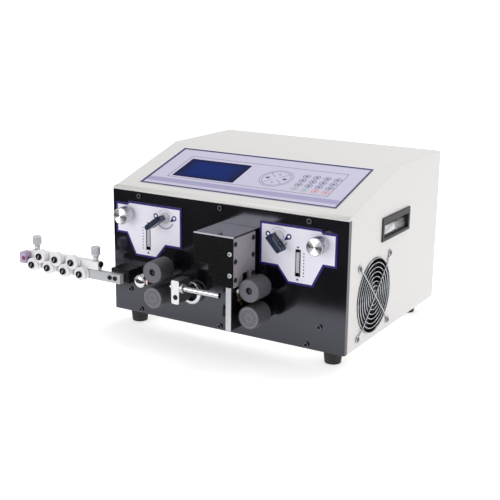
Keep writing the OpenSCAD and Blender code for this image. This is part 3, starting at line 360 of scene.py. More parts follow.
# %% Soften the larger parts
FEEDS = [f"{side}_{level}" for side in ("left", "right") for level in ("upper", "lower")]
soft_edges = (
    ("casing", 1.6, ivory), ("chassis_tray", 0.5, ivory), ("front_plate", 0.5, gloss_black),
    ("blade_cover", 0.5, satin_black), ("blade_side_panel", 0.4, grey_coat),
    ("blade_frame", 0.5, dark_steel), ("conduit_arm", 1.2, anodised), ("straightener_bar", 0.6, nickel),
    ("straightener_slide", 0.6, bright_satin), ("straightener_bracket", 0.8, satin_black),
    ("side_handles", 0.8, moulded), ("feet", 1.2, foot_rubber), ("entry_eyelet", 1.0, mauve),
    *[(feed + "_roller", 0.9, feed_rubber) for feed in FEEDS],
    ("power_inlet", 0.6, moulded), ("power_rocker", 0.5, moulded),
    ("lower_blade_carrier", 0.4, dark_steel),
)
for node, radius, used in soft_edges:
    softened(node, radius, used)
print("softened", len(soft_edges))

# %% [markdown]
# The other CAD nodes already have the right shape, so they only change their finish. Blades, axles and
# gear shafts are blackened steel, while the inlet post, the tube and the blade pinion are ground bright.

# %% Finish the other CAD nodes
plain = {
    steel: ("inlet_post", "conduit_tube", "blade_pinion"),
    aluminium: ("left_carrier", "right_carrier"),
    nickel: ("left_pressure_slider", "right_pressure_slider"),
    dark_steel: ("panel_screws", "lower_axles", "upper_axles", "stepper_motors", "shaft_bushes",
                 *[feed + "_gear_shaft" for feed in FEEDS], "upper_blade", "lower_blade",
                 "upper_blade_carrier"),
    nylon: tuple(f"straightener_roller_{k}" for k in range(1, 8)),
    moulded: ("fan_frame", "fan_rotor", "electronics"),
    film: ("printed_films",),
    screen: ("display_module",),
    glaze: ("inlet_eyelet",),
}
for used, names in plain.items():
    for name in names:
        mesh = frame["nodes"][name].data
        mesh.materials.clear()
        mesh.materials.append(used)
print("finished", sum(len(names) for names in plain.values()))

# %% [markdown]
# New pieces begin as a bmesh. A lathe turns a profile round an axis, as knobs and screws are made. A
# row of the profile with a third value is crisp, and that value is the depth of flutes cut into it.

# %% Helpers for solid pieces


def mesh_of(work, name):
    """A mesh from a bmesh, with its faces turned outward."""
    bmesh.ops.recalc_face_normals(work, faces=work.faces)
    mesh = bpy.data.meshes.new(name)
    work.to_mesh(mesh)
    work.free()
    return mesh


def piece_of(work, name, used, body="machine"):
    """Makes a piece from a bmesh and lets it ride on a body, if one is named."""
    mesh = mesh_of(work, name)
    mesh.materials.append(used)
    made = placed(name, mesh)
    if body:
        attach(made, body)
    return made


def lathe(work, profile, centre, axis, steps):
    """Turns (radius, along) points in millimetres about an axis. Flutes take four steps each."""
    turn = Vector((0, 0, 1)).rotation_difference(Vector(axis)).to_matrix()
    rows = []
    for radius, along, *cut in profile:
        row = []
        for k in range(steps if radius > 0 else 1):
            angle = 2 * math.pi * k / steps
            reach = radius - (cut[0] if cut and k % 4 > 1 else 0)
            local = Vector((reach * math.cos(angle), reach * math.sin(angle), along)) * MM
            row.append(work.verts.new(centre + turn @ local))
        rows.append((row, bool(cut)))
    for (low, sharp), (high, also) in zip(rows, rows[1:]):
        for k in range(steps):
            ring = [low[k % len(low)], low[(k + 1) % len(low)],
                    high[(k + 1) % len(high)], high[k % len(high)]]
            ring = list(dict.fromkeys(ring))
            if len(ring) > 2:
                work.faces.new(ring).smooth = not (sharp and also)


def turned_piece(name, profile, centre, axis, used, body="machine", steps=64):
    """A piece turned on the lathe."""
    work = bmesh.new()
    lathe(work, profile, centre, axis, steps)
    return piece_of(work, name, used, body)


print("lathe ready")

# %% [markdown]
# Print needs a flat ribbon of ink along a path, and a filled outline. Both work in the two directions
# of a film, through a function that says where a point of the film lies, and both are rings of points
# with a skin of faces between them. Small helpers give the points of a rectangle and of an arc.

# %% Helpers for print


def skin(work, rows, closed, smooth=False):
    """Faces from each ring of points to the next, with two ends unless the last meets the first."""
    count = len(rows[0])
    for one, two in zip(rows, rows[1:] + (rows[:1] if closed else [])):
        for k in range(count):
            j = (k + 1) % count
            work.faces.new((one[k], one[j], two[j], two[k])).smooth = smooth
    if not closed:
        work.faces.new(rows[0])
        work.faces.new(rows[-1])


def ribbon(work, place, path, width, low, high, closed=True, aside=0):
    """A flat strip along a path of (u, v) points, from height low to high, moved aside to its left."""
    count = len(path)
    rows = []
    for k, p in enumerate(path):
        here = Vector(p)
        before = Vector(path[k - 1] if closed or k else p)
        after = Vector(path[(k + 1) % count] if closed or k + 1 < count else p)
        first = (here - before if k or closed else after - here).normalized()
        second = (after - here).normalized() if after != here else first
        across = Vector((-first.y - second.y, first.x + second.x)).normalized()
        across /= max(0.35, across.dot(Vector((-first.y, first.x))))
        rows.append([work.verts.new(place(*(here + across * (aside + s * width / 2)), h))
                     for s, h in ((-1, low), (1, low), (1, high), (-1, high))])
    skin(work, rows, closed)


def fill(work, place, outline, low, high):
    """A flat plate with an outline of (u, v) points, from height low to high."""
    skin(work, [[work.verts.new(place(u, v, h)) for u, v in outline] for h in (low, high)], False)


def plate_piece(name, place, outline, low, high, used, body="machine"):
    """A piece that is one flat plate."""
    work = bmesh.new()
    fill(work, place, outline, low, high)
    return piece_of(work, name, used, body)


def rectangle(u0, v0, u1, v1):
    """The four corners of a rectangle."""
    return [(u0, v0), (u1, v0), (u1, v1), (u0, v1)]


def turn_of(degrees):
    """Cosine and sine of an angle."""
    return math.cos(math.radians(degrees)), math.sin(math.radians(degrees))


def arc(u, v, radius, start, stop, steps):
    """Points of an arc, in degrees. A whole circle leaves out its last point."""
    count = steps if abs(stop - start) >= 360 else steps + 1
    turns = [turn_of(start + (stop - start) * k / steps) for k in range(count)]
    return [(u + radius * c, v + radius * s) for c, s in turns]


print("print helpers ready")

# %% [markdown]
# Geometry Nodes make what repeats. This tree sets a template on points: each point carries the
# direction it faces, the template turns to it, and Realize Instances turns the copies into real mesh.
# Each tree gets named inputs for its sizes, and ends by setting its finish.

# %% A tree that sets a template on points


def plain_mesh(holder, name, used, body, spare=()):
    """Turns a node tree's result into a plain mesh piece and removes what made it."""
    scene_now = bpy.context.evaluated_depsgraph_get()
    mesh = bpy.data.meshes.new_from_object(holder.evaluated_get(scene_now))
    mesh.name = name
    mesh.materials.clear()
    mesh.materials.append(used)
    for extra in (holder, *spare):
        bpy.data.objects.remove(extra)
    made = placed(name, mesh)
    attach(made, body)
    print(name, len(mesh.polygons), "faces")
    return made


def tree_on(holder, name, values):
    """A tree on an object, with an input for each value. Returns it with its input node's sockets."""
    tree = bpy.data.node_groups.new(name + "_tree", "GeometryNodeTree")
    tree.interface.new_socket("Geometry", in_out="INPUT", socket_type="NodeSocketGeometry")
    sockets = {}
    for label, value in values.items():
        kind = "NodeSocketInt" if isinstance(value, int) else "NodeSocketFloat"
        sockets[label] = tree.interface.new_socket(label, in_out="INPUT", socket_type=kind)
    tree.interface.new_socket("Geometry", in_out="OUTPUT", socket_type="NodeSocketGeometry")
    setup = holder.modifiers.new("tree", "NODES")
    setup.node_group = tree
    for label, value in values.items():
        setup[sockets[label].identifier] = value
    return tree, add(tree, "NodeGroupInput").outputs


def end_tree(tree, shape, used):
    """Ends a tree with the finish of its shape."""
    dressed = add(tree, "GeometryNodeSetMaterial", {"Geometry": shape, "Material": used})
    add(tree, "NodeGroupOutput", {"Geometry": dressed.outputs["Geometry"]})


def on_points(name, template, points, used, body="machine"):
    """Copies a template mesh, drawn facing +Z, to points of (place, facing)."""
    carrier = bpy.data.meshes.new(name + "_points")
    carrier.from_pydata([tuple(p) for p, n in points], [], [])
    facing = carrier.attributes.new("facing", "FLOAT_VECTOR", "POINT")
    for k, (p, n) in enumerate(points):
        facing.data[k].vector = n
    holder = placed(name + "_points", carrier)
    model = placed(name + "_template", template)
    tree, given = tree_on(holder, name, {"Size": 1.0})
    shape = add(tree, "GeometryNodeObjectInfo", {"Object": model})
    face = add(tree, "GeometryNodeInputNamedAttribute", {"Name": "facing"}, data_type="FLOAT_VECTOR")
    aim = add(tree, "FunctionNodeAlignRotationToVector", {"Vector": face.outputs["Attribute"]}, axis="Z")
    copies = add(tree, "GeometryNodeInstanceOnPoints", {
        "Points": given["Geometry"], "Instance": shape.outputs["Geometry"],
        "Rotation": aim.outputs["Rotation"], "Scale": given["Size"]})
    real = add(tree, "GeometryNodeRealizeInstances", {"Geometry": copies.outputs["Instances"]})
    end_tree(tree, real.outputs["Geometry"], used)
    return plain_mesh(holder, name, used, body, (model,))


def template(profile, steps=24):
    """A turned template facing +Z."""
    work = bmesh.new()
    lathe(work, profile, Vector((0, 0, 0)), (0, 0, 1), steps)
    return mesh_of(work, "template")


def hoop(outer, inner, height, steps=28):
    """A flat ring template facing +Z."""
    return template([(outer, 0), (outer, height), (inner, height), (inner, 0), (outer, 0)], steps)


print("tree for copies ready")

# %% [markdown]
# The two scale plates are white films glued to the black plate, with an indigo edge of about 3 mm. The
# right one is the mirror image of the left. Each edge is one ribbon with mitred corners.

# %% Scale plates: the edge
SCALE_T = 1.6
EDGE_W = 3.2
LEVER_DX, LEVER_Z, POINTER_DX, POINTER_Z = 98.5, 160, 130.5, 125
outline = [(71, 175.5), (166, 175.5), (168.5, 172), (188.5, 172), (188.5, 129), (170, 129),
           (153.5, 96), (116, 96), (98.5, 118), (71, 118)]


def scale_place(s):
    """A point of the left (-1) or right (1) scale plate: out from the middle, up, and off the plate."""
    return lambda u, v, out: on_plate(MECH_X + s * u, v, out)


border = bmesh.new()
for s in (-1, 1):
    ribbon(border, scale_place(s), outline, EDGE_W, 0, SCALE_T + 0.06, aside=1.3)
piece_of(border, "scale_borders", inks["indigo"])
print("scale edges printed")

# %% [markdown]
# Round each lever lie two eye marks with a tail, a grey crescent under it and a thin arc over it. They
# show how far the lever opens and closes the rollers.

# %% Scale plates: marks round the levers
marks, eyes, greys = bmesh.new(), bmesh.new(), bmesh.new()
INK = (SCALE_T, SCALE_T + 0.08)
EYE_DX, EYE_RISE, EYE_R, TAIL = 17, 1.2, 4.2, 10
for s in (-1, 1):
    place = scale_place(s)
    for k in (-1, 1):
        u, v = LEVER_DX + k * EYE_DX, LEVER_Z + EYE_RISE
        tip = math.degrees(math.atan2(LEVER_Z - 13 - v, LEVER_DX - u))
        c, d = turn_of(tip)
        drop = arc(u, v, EYE_R, tip + 60, tip + 300, 20) + [(u + TAIL * c, v + TAIL * d)]
        fill(marks, place, drop, *INK)
        fill(eyes, place, arc(u, v, EYE_R / 2, 0, 360, 20), SCALE_T + 0.05, SCALE_T + 0.14)
    ribbon(greys, place, arc(LEVER_DX, LEVER_Z - 1, 15.5, 205, 335, 30), 2.0, *INK, False)
    ribbon(greys, place, arc(LEVER_DX, LEVER_Z - 1, 13.5, 35, 145, 24), 0.7, *INK, False)
piece_of(marks, "scale_marks", inks["indigo"])
piece_of(eyes, "scale_mark_eyes", inks["white"])
piece_of(greys, "scale_arcs", inks["grey"])
print("lever marks printed")

# %% [markdown]
# Beside each slot runs a row of dots, and a small triangle stands under it, so the pressure can be
# read off. The dots are one disc on sixteen points.

# %% Scale plates: dots beside the slots
DOT_DX, DOT_LOW, DOT_STEP = 9.5, -18, 4.7
front_out = Vector((0, -1, 0))
dots, triangles = [], bmesh.new()
for s in (-1, 1):
    place = scale_place(s)
    for k in range(8):
        dots.append((place(POINTER_DX + DOT_DX, POINTER_Z + DOT_LOW + k * DOT_STEP, SCALE_T), front_out))
    for v, tall in ((POINTER_Z - 25.5, 3.4), (POINTER_Z + 24, -3.0)):
        foot = [(POINTER_DX - 2.6, v), (POINTER_DX + 2.6, v)]
        fill(triangles, place, foot + [(POINTER_DX, v + tall)], *INK)
disc = template([(0, 0), (1.0, 0), (1.0, 0.08), (0, 0.08)], 12)
on_points("scale_dots", disc, dots, inks["black"])
piece_of(triangles, "scale_triangles", inks["indigo"])

# %% [markdown]
# A release lever is a deep polished fin on a bright turned base. Two shallow grooves run along its
# sides, so its outline is stacked in slices of two widths. Turned a quarter, it opens the rollers.

# %% Release levers
FIN_HEEL, FIN_TIP = -6, 23
slices = ((9, 12.5, 3.9), (12.5, 15, 2.4), (15, 19, 4.0), (19, 21.5, 2.4), (21.5, 27, 4.0), (27, 28, 3.5))
lever_base = [(0, 9.2), (5, 9.2), (5.6, 8.6), (5.6, 5), (8.2, 4.6), (8.9, 3.8), (8.9, 2.0), (0, 2.0)]
for s, label, droop in ((-1, "left", 37), (1, "right", 47)):
    c, d = turn_of(-droop)
    fin = bmesh.new()
    for low, high, wide in slices:
        shape = [(FIN_HEEL, -wide), (FIN_HEEL, wide)] + arc(FIN_TIP - wide, 0, wide, 90, -90, 12)
        fill(fin, scale_place(s), [(LEVER_DX + u * c - v * d, LEVER_Z + u * d + v * c) for u, v in shape],
             low, high)
    fin_piece = piece_of(fin, label + "_lever_fin", lever_black_and_sheen, label + "_lever")
    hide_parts(label + "_release_lever")
    turned_piece(label + "_lever_base", lever_base, spot(MECH_X + s * LEVER_DX, 0, LEVER_Z), front_out,
                 nickel, label + "_lever")
print("levers made")

# %% [markdown]
# The pointer in each slot is a bright bar. A dark strip along its right edge is painted shadow, where the
# slot's edge shades it.

# %% Pointer shadow strips, painted
SIDES = ((-1, "left"), (1, "right"))
POINTER_HALF = 14.8
for s, label in SIDES:
    x = MECH_X + s * POINTER_DX
    # painted shadow of the slot's edge: a dark strip that rides with the pointer
    line = rectangle(x + 1.6, POINTER_Z - POINTER_HALF, x + 3.5, POINTER_Z + POINTER_HALF)
    plate_piece(label + "_pointer_line", on_plate, line, -0.42, -0.32, inks["black"], label + "_slider")
print("pointers lined")

# %% [markdown]
# The control panel is one polyester film with print on it: an edge line, heavier at the left and along the
# top, a darker band, and a thin frame round the display and the keys. The bright line along its top edge
# is a painted highlight, white ink where the edge is lit.

# %% Control panel: the film
FILM_T = 0.6
PANEL_U, PANEL_LOW, PANEL_HIGH = 169, 18, 146
LINES = (FILM_T, FILM_T + 0.14)
panel, lines = bmesh.new(), bmesh.new()
for u0, u1, v0, v1 in (
        (-PANEL_U, SCREEN_U[0], PANEL_LOW, PANEL_HIGH), (SCREEN_U[1], PANEL_U, PANEL_LOW, PANEL_HIGH),
        (*SCREEN_U, PANEL_LOW, SCREEN_V[0]), (*SCREEN_U, SCREEN_V[1], PANEL_HIGH)):
    fill(panel, on_slope, rectangle(u0, v0, u1, v1), FILM_T, FILM_T + 0.05)
ribbon(lines, on_slope, rectangle(-168, 19, 168, 145), 3.0, *LINES)
ribbon(lines, on_slope, [(-165.7, 20.5), (-165.7, 142.7), (166.5, 142.7)], 1.6, *LINES, False)
ribbon(lines, on_slope, rectangle(-137, 46.9, 141, 120.3), 0.7, *LINES)
piece_of(panel, "panel_film", inks["panel"])
plate_piece("panel_band", on_slope, rectangle(-166, 28, 166, 40.5), FILM_T, FILM_T + 0.1, inks["lavender"])
# painted highlight: a white strip along the panel's top edge, where the edge is lit
lit = rectangle(-PANEL_U, PANEL_HIGH + 0.2, PANEL_U, PANEL_HIGH + 2)
plate_piece("panel_bright_edge", on_slope, lit, 0, FILM_T, inks["white"])
print("panel film printed")

# %% [markdown]
# The round cursor pad has two circles, four lines between its fields and an arrow in each field.

# %% Control panel: the cursor pad
PAD_U, PAD_V = 38.7, 81.7
arrows = bmesh.new()
for radius in (26, 22.5):
    ribbon(lines, on_slope, arc(PAD_U, PAD_V, radius, 0, 360, 56), 0.6, *LINES)
for k in range(4):
    c, s = turn_of(45 + 90 * k)
    ribbon(lines, on_slope, [(PAD_U + 5 * c, PAD_V + 5 * s), (PAD_U + 22 * c, PAD_V + 22 * s)], 0.6,
           *LINES, False)
    c, s = turn_of(90 * k)
    long, wide = (6.0, 3.6) if k % 2 == 0 else (2.4, 1.8)
    fill(arrows, on_slope, [(PAD_U + (13 + long) * c, PAD_V + (13 + long) * s),
                            (PAD_U + 12 * c - wide * s, PAD_V + 12 * s + wide * c),
                            (PAD_U + 12 * c + wide * s, PAD_V + 12 * s - wide * c)], *LINES)
piece_of(lines, "panel_lines", inks["navy"])
piece_of(arrows, "cursor_arrows", inks["black"])
print("cursor pad printed")

# %% [markdown]
# Sixteen keys stand in four rows. Each is a printed ring with a mark in it: twelve navy ones, two
# green and two red. Three sets of points carry the same two templates.

# %% Control panel: the keys
slope_out = (on_slope(0, 0, 1) - on_slope(0, 0, 0)).normalized()
keys = {"navy": [], "green": [], "red": []}
for v in (99, 85, 71.4, 57.8):
    for k, u in enumerate((82, 99, 116, 133)):
        ink = "navy" if v > 60 else ("green" if k < 2 else "red")
        keys[ink].append((on_slope(u, v, FILM_T + 0.02), slope_out))
for ink, points in keys.items():
    on_points("keys_" + ink, hoop(5.8, 4.9, 0.14), points, inks[ink])
    on_points("key_marks_" + ink, hoop(2.4, 1.0, 0.13, 16), points, inks[ink])

# %% [markdown]
# The plate's screw heads get a grey ring at the rim, a painted highlight where the round rim catches the
# light. The blade cover has two bright pan heads on its face and dark button heads down its side.

# %% Screws on the front
SCREW_DX, LOW_SCREW_DX, LOW_SCREW_Z = 147, 167, 36
rims = [(MECH_X + x, z) for x in (-SCREW_DX, 0, SCREW_DX) for z in (6, 188)]
rims += [(MECH_X + s * LOW_SCREW_DX, LOW_SCREW_Z) for s in (-1, 1)]
# painted highlight: a flat grey ring on each plate screw's rim
on_points("plate_screw_rims", hoop(3.75, 2.7, 0.25), [(spot(x, -2.35, z), front_out) for x, z in rims],
          screw_grey_and_rim_highlight)
pan = template([(0, 1.2), (1.5, 1.2), (1.6, 2.2), (2.6, 2.0), (3.2, 1.2), (3.5, 0), (0, 0)])
heads = [(spot(54.2, -68, z), front_out) for z in (142.2, 111.2)]
on_points("cover_screws", pan, heads, nickel)
socket = template([(0, 1.2), (1.45, 1.2), (1.45, 2.0), (0, 2.0)], 6)
on_points("cover_screw_sockets", socket, heads, dark_steel)
side_out = Vector((1, 0, 0))
button = template([(0, 0.6), (1.6, 0.6), (1.6, 1.6), (2.4, 1.7), (3.3, 1.2), (3.8, 0), (0, 0)])
on_points("side_panel_screws", button,
          [(spot(59.5, y, z), side_out) for y in (-62, -14) for z in (156, 130.8, 104)], dark_steel)

# %% [markdown]
# The casing's front edge is rolled over the plate in a round fold, which catches the light from the
# front as a bright band between the slope and the black plate.

# %% Rolled front edge of the casing
fold_profile = [(0, 194.3), (-0.3, 195.4), (-0.2, 196.4), (0.5, 197.5), (1.8, 198.4), (3.6, 199.0),
                (5.8, 199.3), (8.4, 199.5), (9.6, 199.5), (6, 197)]
FOLD_END = 202.4
fold = bmesh.new()
left_end, right_end = ([fold.verts.new(spot(x, y, z)) for y, z in fold_profile]
                       for x in (-FOLD_END, FOLD_END))
fold.faces.new(left_end)
fold.faces.new(right_end)
for k in range(len(fold_profile)):
    j = (k + 1) % len(fold_profile)
    fold.faces.new((left_end[k], left_end[j], right_end[j], right_end[k])).smooth = k < 8
piece_of(fold, "casing_rolled_edge", ivory)
print("front edge rolled")

# %% [markdown]
# The blade head's top is its own sheet, gloss black. Its cut front edge was left bare, so it shines,
# and so does the front edge of the frame plate that carries the head.

# %% Top of the blade head
HEAD_TOP = 166


def on_head(u, v, out):
    """A point of the head's level top: across, to the rear, and up."""
    return spot(u, v, HEAD_TOP + out)


plate_piece("head_top_plate", on_head, rectangle(-5.6, -66.4, 58.6, -0.6), 0, 0.5, top_black)
plate_piece("head_bare_edge", on_head, rectangle(-6, -68.4, 59.5, -66.4), -0.9, 0.55, nickel)
plate_piece("frame_bright_edge", on_plate, rectangle(47.2, 29.2, 55.8, 92.6), 66.4, 66.9, nickel)
print("blade head dressed")

# %% [markdown]
# The cut wire leaves past a thin brass finger, held by one bright screw on the frame plate's side.

# %% Outlet finger
FRAME_FACE = 56


def on_frame(u, v, out):
    """A point of the frame plate's right face: to the rear, up, and off it."""
    return spot(FRAME_FACE + out, u, v)


finger = [(-58.5, 88), (-52.5, 88.5), (-41.5, 64.5), (-46, 62.5), (-57.5, 81)]
plate_piece("outlet_finger", on_frame, finger, 3.6, 4.4, brass)
finger_screw = [(0, 5.4), (1.2, 5.4), (1.4, 6.6), (2.8, 6.4), (3.4, 5.2), (3.4, 0), (0, 0)]
turned_piece("outlet_finger_screw", finger_screw, on_frame(-55, 86.7, 0), side_out, steel)
print("outlet finger made")

# %% [markdown]
# The swinging conduit turns in a polished flange on the plate. The block has a bright blasted face
# plate with round corners, one dark screw clamps it, and a collar holds the tube.

# %% Conduit fittings
WIRE_Y, WIRE_Z = -44, 70
flange = [(12.6, 10), (16.4, 10), (17.6, 8.6), (17.6, 0.2), (13.4, 0.2), (13.4, 6), (12.6, 6), (12.6, 10)]
turned_piece("conduit_flange", flange, spot(-52, 0, 52), front_out, chrome)
corners = arc(-47, 79.5, 2.5, 0, 90, 6) + arc(-55.5, 79.5, 2.5, 90, 180, 6)
corners += arc(-55, 49, 3, 180, 270, 6) + arc(-47.5, 49, 3, 270, 360, 6)
plate_piece("arm_face_plate", on_plate, corners, 50, 50.8, bright_satin, "conduit")
clamp = [(0, 0.5), (1.8, 0.5), (2.0, 1.3), (3.2, 1.2), (3.9, 0.5), (4.0, -0.5), (0, -0.5)]
turned_piece("clamp_screw", clamp, spot(-50.7, -50.8, 56.5), front_out, dark_steel, "conduit")
collar = [(4.6, 0), (7.0, 0), (7.4, 0.6), (7.4, 4.4), (7.0, 5), (4.6, 5), (4.6, 0)]
turned_piece("tube_collar", collar, spot(-44.5, WIRE_Y, WIRE_Z), side_out, aluminium, "conduit")
print("conduit fitted")

# %% [markdown]
# Feed rollers are rubber sleeves on steel cores. The lower ends show two turned rings, the upper ends
# a dark socket.

# %% Ends of the feed rollers
ROLLER_DX, ROLLER_END, SOCKET_END, LOWER_Z, UPPER_Z = 83.5, -56, -52.2, 50.1, 89.9
lower_face = [(0, 0.1), (15.5, 0.1), (15.8, 0), (0, 0)]
upper_face = [(5.3, 0.1), (15.5, 0.1), (15.8, 0), (5.3, 0), (5.3, 0.1)]
socket_profile = [(0, 0.15), (2.4, 0.15), (3.0, 0.6), (4.4, 0.6), (4.9, 0), (0, 0)]
for s, label in SIDES:
    x = MECH_X + s * ROLLER_DX
    lower, upper = label + "_lower_feed", label + "_upper_feed"
    low_end = spot(x, ROLLER_END, LOWER_Z)
    for inner, outer in ((13.6, 14.3), (5.0, 5.6)):
        ring = [(outer, 0), (outer, 0.25), (inner, 0.25), (inner, 0), (outer, 0)]
        turned_piece(f"{label}_lower_ring_{inner:.0f}", ring, low_end, front_out, grey_coat, lower)
    turned_piece(label + "_lower_face", lower_face, low_end, front_out, face_rubber, lower)
    turned_piece(label + "_upper_face", upper_face, spot(x, ROLLER_END, UPPER_Z), front_out, face_rubber,
                 upper)
    turned_piece(label + "_roller_socket", socket_profile, spot(x, SOCKET_END, UPPER_Z), front_out,
                 moulded, upper)
print("roller ends dressed")

# %% [markdown]
# The wire comes in through a glazed ceramic eye in the polished post, pink with a dark red lip, and
# through a mauve block with a magenta bush at the straightener's far end.

# %% Guide eyes
POST_X = -116
turned_piece("post_cap", [(0, 3.2), (4, 3.0), (7.2, 2.2), (9.2, 0.9), (10, -0.4), (0, -0.4)],
             spot(POST_X, -50, WIRE_Z), front_out, chrome)
lip = [(3.2, 12.2), (4.4, 12.2), (4.8, 12.6), (4.8, 13.6), (4.4, 14.0), (3.2, 14.0), (3.2, 12.2)]
turned_piece("eye_lip", lip, spot(POST_X, WIRE_Y, WIRE_Z), side_out, red_glaze)
turned_piece("entry_bush", [(3.2, 0), (5.2, 0), (5.2, 1.2), (4.4, 2.0), (3.2, 2.0), (3.2, 0)],
             spot(-358, WIRE_Y, WIRE_Z), -side_out, magenta)
turned_piece("entry_set_screw", [(0, 1.2), (2.6, 1.2), (3.4, 0.6), (3.4, -1), (0, -1)],
             spot(-349, -51, 71), front_out, magenta)
print("guide eyes made")

# %% [markdown]
# The fan guard is plated wire, bent into rings and spot welded to two cross wires that end in loops.
# One tree makes the rings: a circle is copied with a growing size, and a small round is swept along.

# %% Fan guard: the rings
FAN = spot(202.5, 92, 66)
GUARD_OUT = 1.2


def wire_rings(name, count, first, step, wire, used):
    """Rings of wire round the X axis, at the fan's middle."""
    holder = placed(name + "_maker", bpy.data.meshes.new(name + "_maker"))
    tree, given = tree_on(holder, name, {"Count": count, "First radius": first * MM, "Step": step * MM,
                                         "Wire": wire / 2 * MM})
    seats = add(tree, "GeometryNodeMeshLine", {"Count": given["Count"], "Offset": (0, 0, 0)})
    circle = add(tree, "GeometryNodeCurvePrimitiveCircle", {"Resolution": 72, "Radius": 1.0})
    index = add(tree, "GeometryNodeInputIndex")
    grow = add(tree, "ShaderNodeMath", {0: index.outputs[0], 1: given["Step"], 2: given["First radius"]},
               operation="MULTIPLY_ADD")
    rings = add(tree, "GeometryNodeInstanceOnPoints", {
        "Points": seats.outputs["Mesh"], "Instance": circle.outputs["Curve"], "Scale": grow.outputs[0]})
    real = add(tree, "GeometryNodeRealizeInstances", {"Geometry": rings.outputs["Instances"]})
    section = add(tree, "GeometryNodeCurvePrimitiveCircle", {"Resolution": 8, "Radius": given["Wire"]})
    swept = add(tree, "GeometryNodeCurveToMesh", {"Curve": real.outputs["Geometry"],
                                                  "Profile Curve": section.outputs["Curve"]})
    stood = add(tree, "GeometryNodeTransform", {"Geometry": swept.outputs["Mesh"],
                                                "Translation": FAN + side_out * GUARD_OUT * MM,
                                                "Rotation": (0, math.pi / 2, 0)})
    end_tree(tree, stood.outputs["Geometry"], used)
    return plain_mesh(holder, name, used, "machine")


guard = wire_rings("guard_rings", 8, 7.5, 6.9, 1.7, guard_wire)
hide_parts("fan_guard")

# %% [markdown]
# Two cross wires hold the rings. They bend down outside the last ring and end in a loop under each of
# the four fan screws, so a wire is swept along a list of points.

# %% Fan guard: cross wires, loops and screws


def wire_along(work, points, wire, closed=False, sides=8):
    """A round wire swept along points."""
    rows, one = [], None
    count = len(points)
    for k, p in enumerate(points):
        before = points[k - 1] if closed or k else p
        after = points[(k + 1) % count] if closed or k + 1 < count else p
        along = (after - before).normalized()
        one = (one - along * one.dot(along)).normalized() if one else along.orthogonal().normalized()
        two = along.cross(one)
        around = [turn_of(360 * j / sides) for j in range(sides)]
        rows.append([work.verts.new(p + (one * c + two * s) * wire / 2 * MM) for c, s in around])
    skin(work, rows, closed, True)


FAN_PITCH, CROSS_WIRE = 105, 2.0
bends = ((-69, GUARD_OUT), (-62, 1.6), (-58, 2.6), (0, 2.6), (58, 2.6), (62, 1.6), (69, GUARD_OUT))
cross = bmesh.new()
for angle in (45, 135):
    c, s = turn_of(angle)
    wire_along(cross, [FAN + Vector((h, c * r, s * r)) * MM for r, h in bends], CROSS_WIRE)
corners = [(j * FAN_PITCH / 2, k * FAN_PITCH / 2) for j in (-1, 1) for k in (-1, 1)]
for y, z in corners:
    loop = arc(y, z, 4.6, 0, 360, 20)
    wire_along(cross, [FAN + Vector((GUARD_OUT, u, v)) * MM for u, v in loop], CROSS_WIRE, True)
piece_of(cross, "guard_cross_wires", guard_wire)
fan_screw = template([(0, 1.4), (1.4, 1.4), (1.6, 2.6), (2.6, 2.3), (3.3, 1.2), (3.4, 0), (0, 0)])
seats = [(FAN + Vector((0.6, y, z)) * MM, side_out) for y, z in corners]
on_points("fan_screws", fan_screw, seats, screw_grey_and_rim_highlight)

# %% [markdown]
# Pressure knobs are turned from bar, with a fluted rim for the fingers. The tool leaves fine rings on
# the face, whose walls send the light out in two bright fans.

# %% Pressure knobs
KNOB_DX, KNOB_Z, KNOB_R, KNOB_LEN = 167, 158, 13, 24
RING_STEP, RING_DEEP = 0.4, 0.14
face_rings = [(RING_STEP + RING_STEP * k, KNOB_LEN - (RING_DEEP if k % 2 else 0), 0.0) for k in range(28)]
knob_profile = [(0, KNOB_LEN)] + face_rings + [
    (12.0, KNOB_LEN), (12.7, 23.2), (KNOB_R, 22.4, 0.5), (KNOB_R, 7, 0.5), (12.4, 5.6), (11, 4.6),
    (6.5, 4.4), (6, 4), (6, 2.1), (0, 2.1)]
for s, label in SIDES:
    knob = turned_piece(label + "_knob_turned", knob_profile, spot(MECH_X + s * KNOB_DX, 0, KNOB_Z),
                        front_out, turned, label + "_knob", 144)
    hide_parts(label + "_pressure_knob")
print("knobs turned")

# %% [markdown]
# Each knob moves a slider that presses a coil spring down on the upper roller's carrier. The spring is a
# wire swept up a helix, from the foot to the head of the CAD spring. In the machine its foot stands still
# and its head goes with the slider, but this piece rides on no body, so its turns stay as they are.

# %% Pressure springs
SPRING_R, SPRING_WIRE, SPRING_TURNS = 3.4, 1.2, 5
STEPS = 16 * SPRING_TURNS
spring_low, spring_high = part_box("pressure_springs")
spring_foot = spring_low.z + SPRING_WIRE / 2 * MM
spring_head = spring_high.z - SPRING_WIRE / 2 * MM
spring_y = (spring_low.y + spring_high.y) / 2
reach = (SPRING_R + SPRING_WIRE / 2) * MM
for spring_x, label in ((spring_low.x + reach, "left"), (spring_high.x - reach, "right")):
    helix = []
    for k in range(STEPS + 1):
        rise = spring_foot + (spring_head - spring_foot) * k / STEPS
        round_axis = Vector((*turn_of(360 * SPRING_TURNS * k / STEPS), 0)) * SPRING_R * MM
        helix.append(Vector((spring_x, spring_y, rise)) + round_axis)
    work = bmesh.new()
    wire_along(work, helix, SPRING_WIRE)
    spring = piece_of(work, label + "_spring_coil", steel, None)
    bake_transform(spring)
    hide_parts("pressure_springs")
print("springs", round((spring_high.z - spring_low.z) / MM, 1), "mm long")

# %% [markdown]
# Thumb screws have a wide knurled head that is hollow below. Turned by hand, they lift the upper plate
# of the straightener, whose sleeves slide up into the heads. A dark screw closes the end of that plate,
# two more hold the bar to its bracket, and each roller turns on a screw with a bright slot.

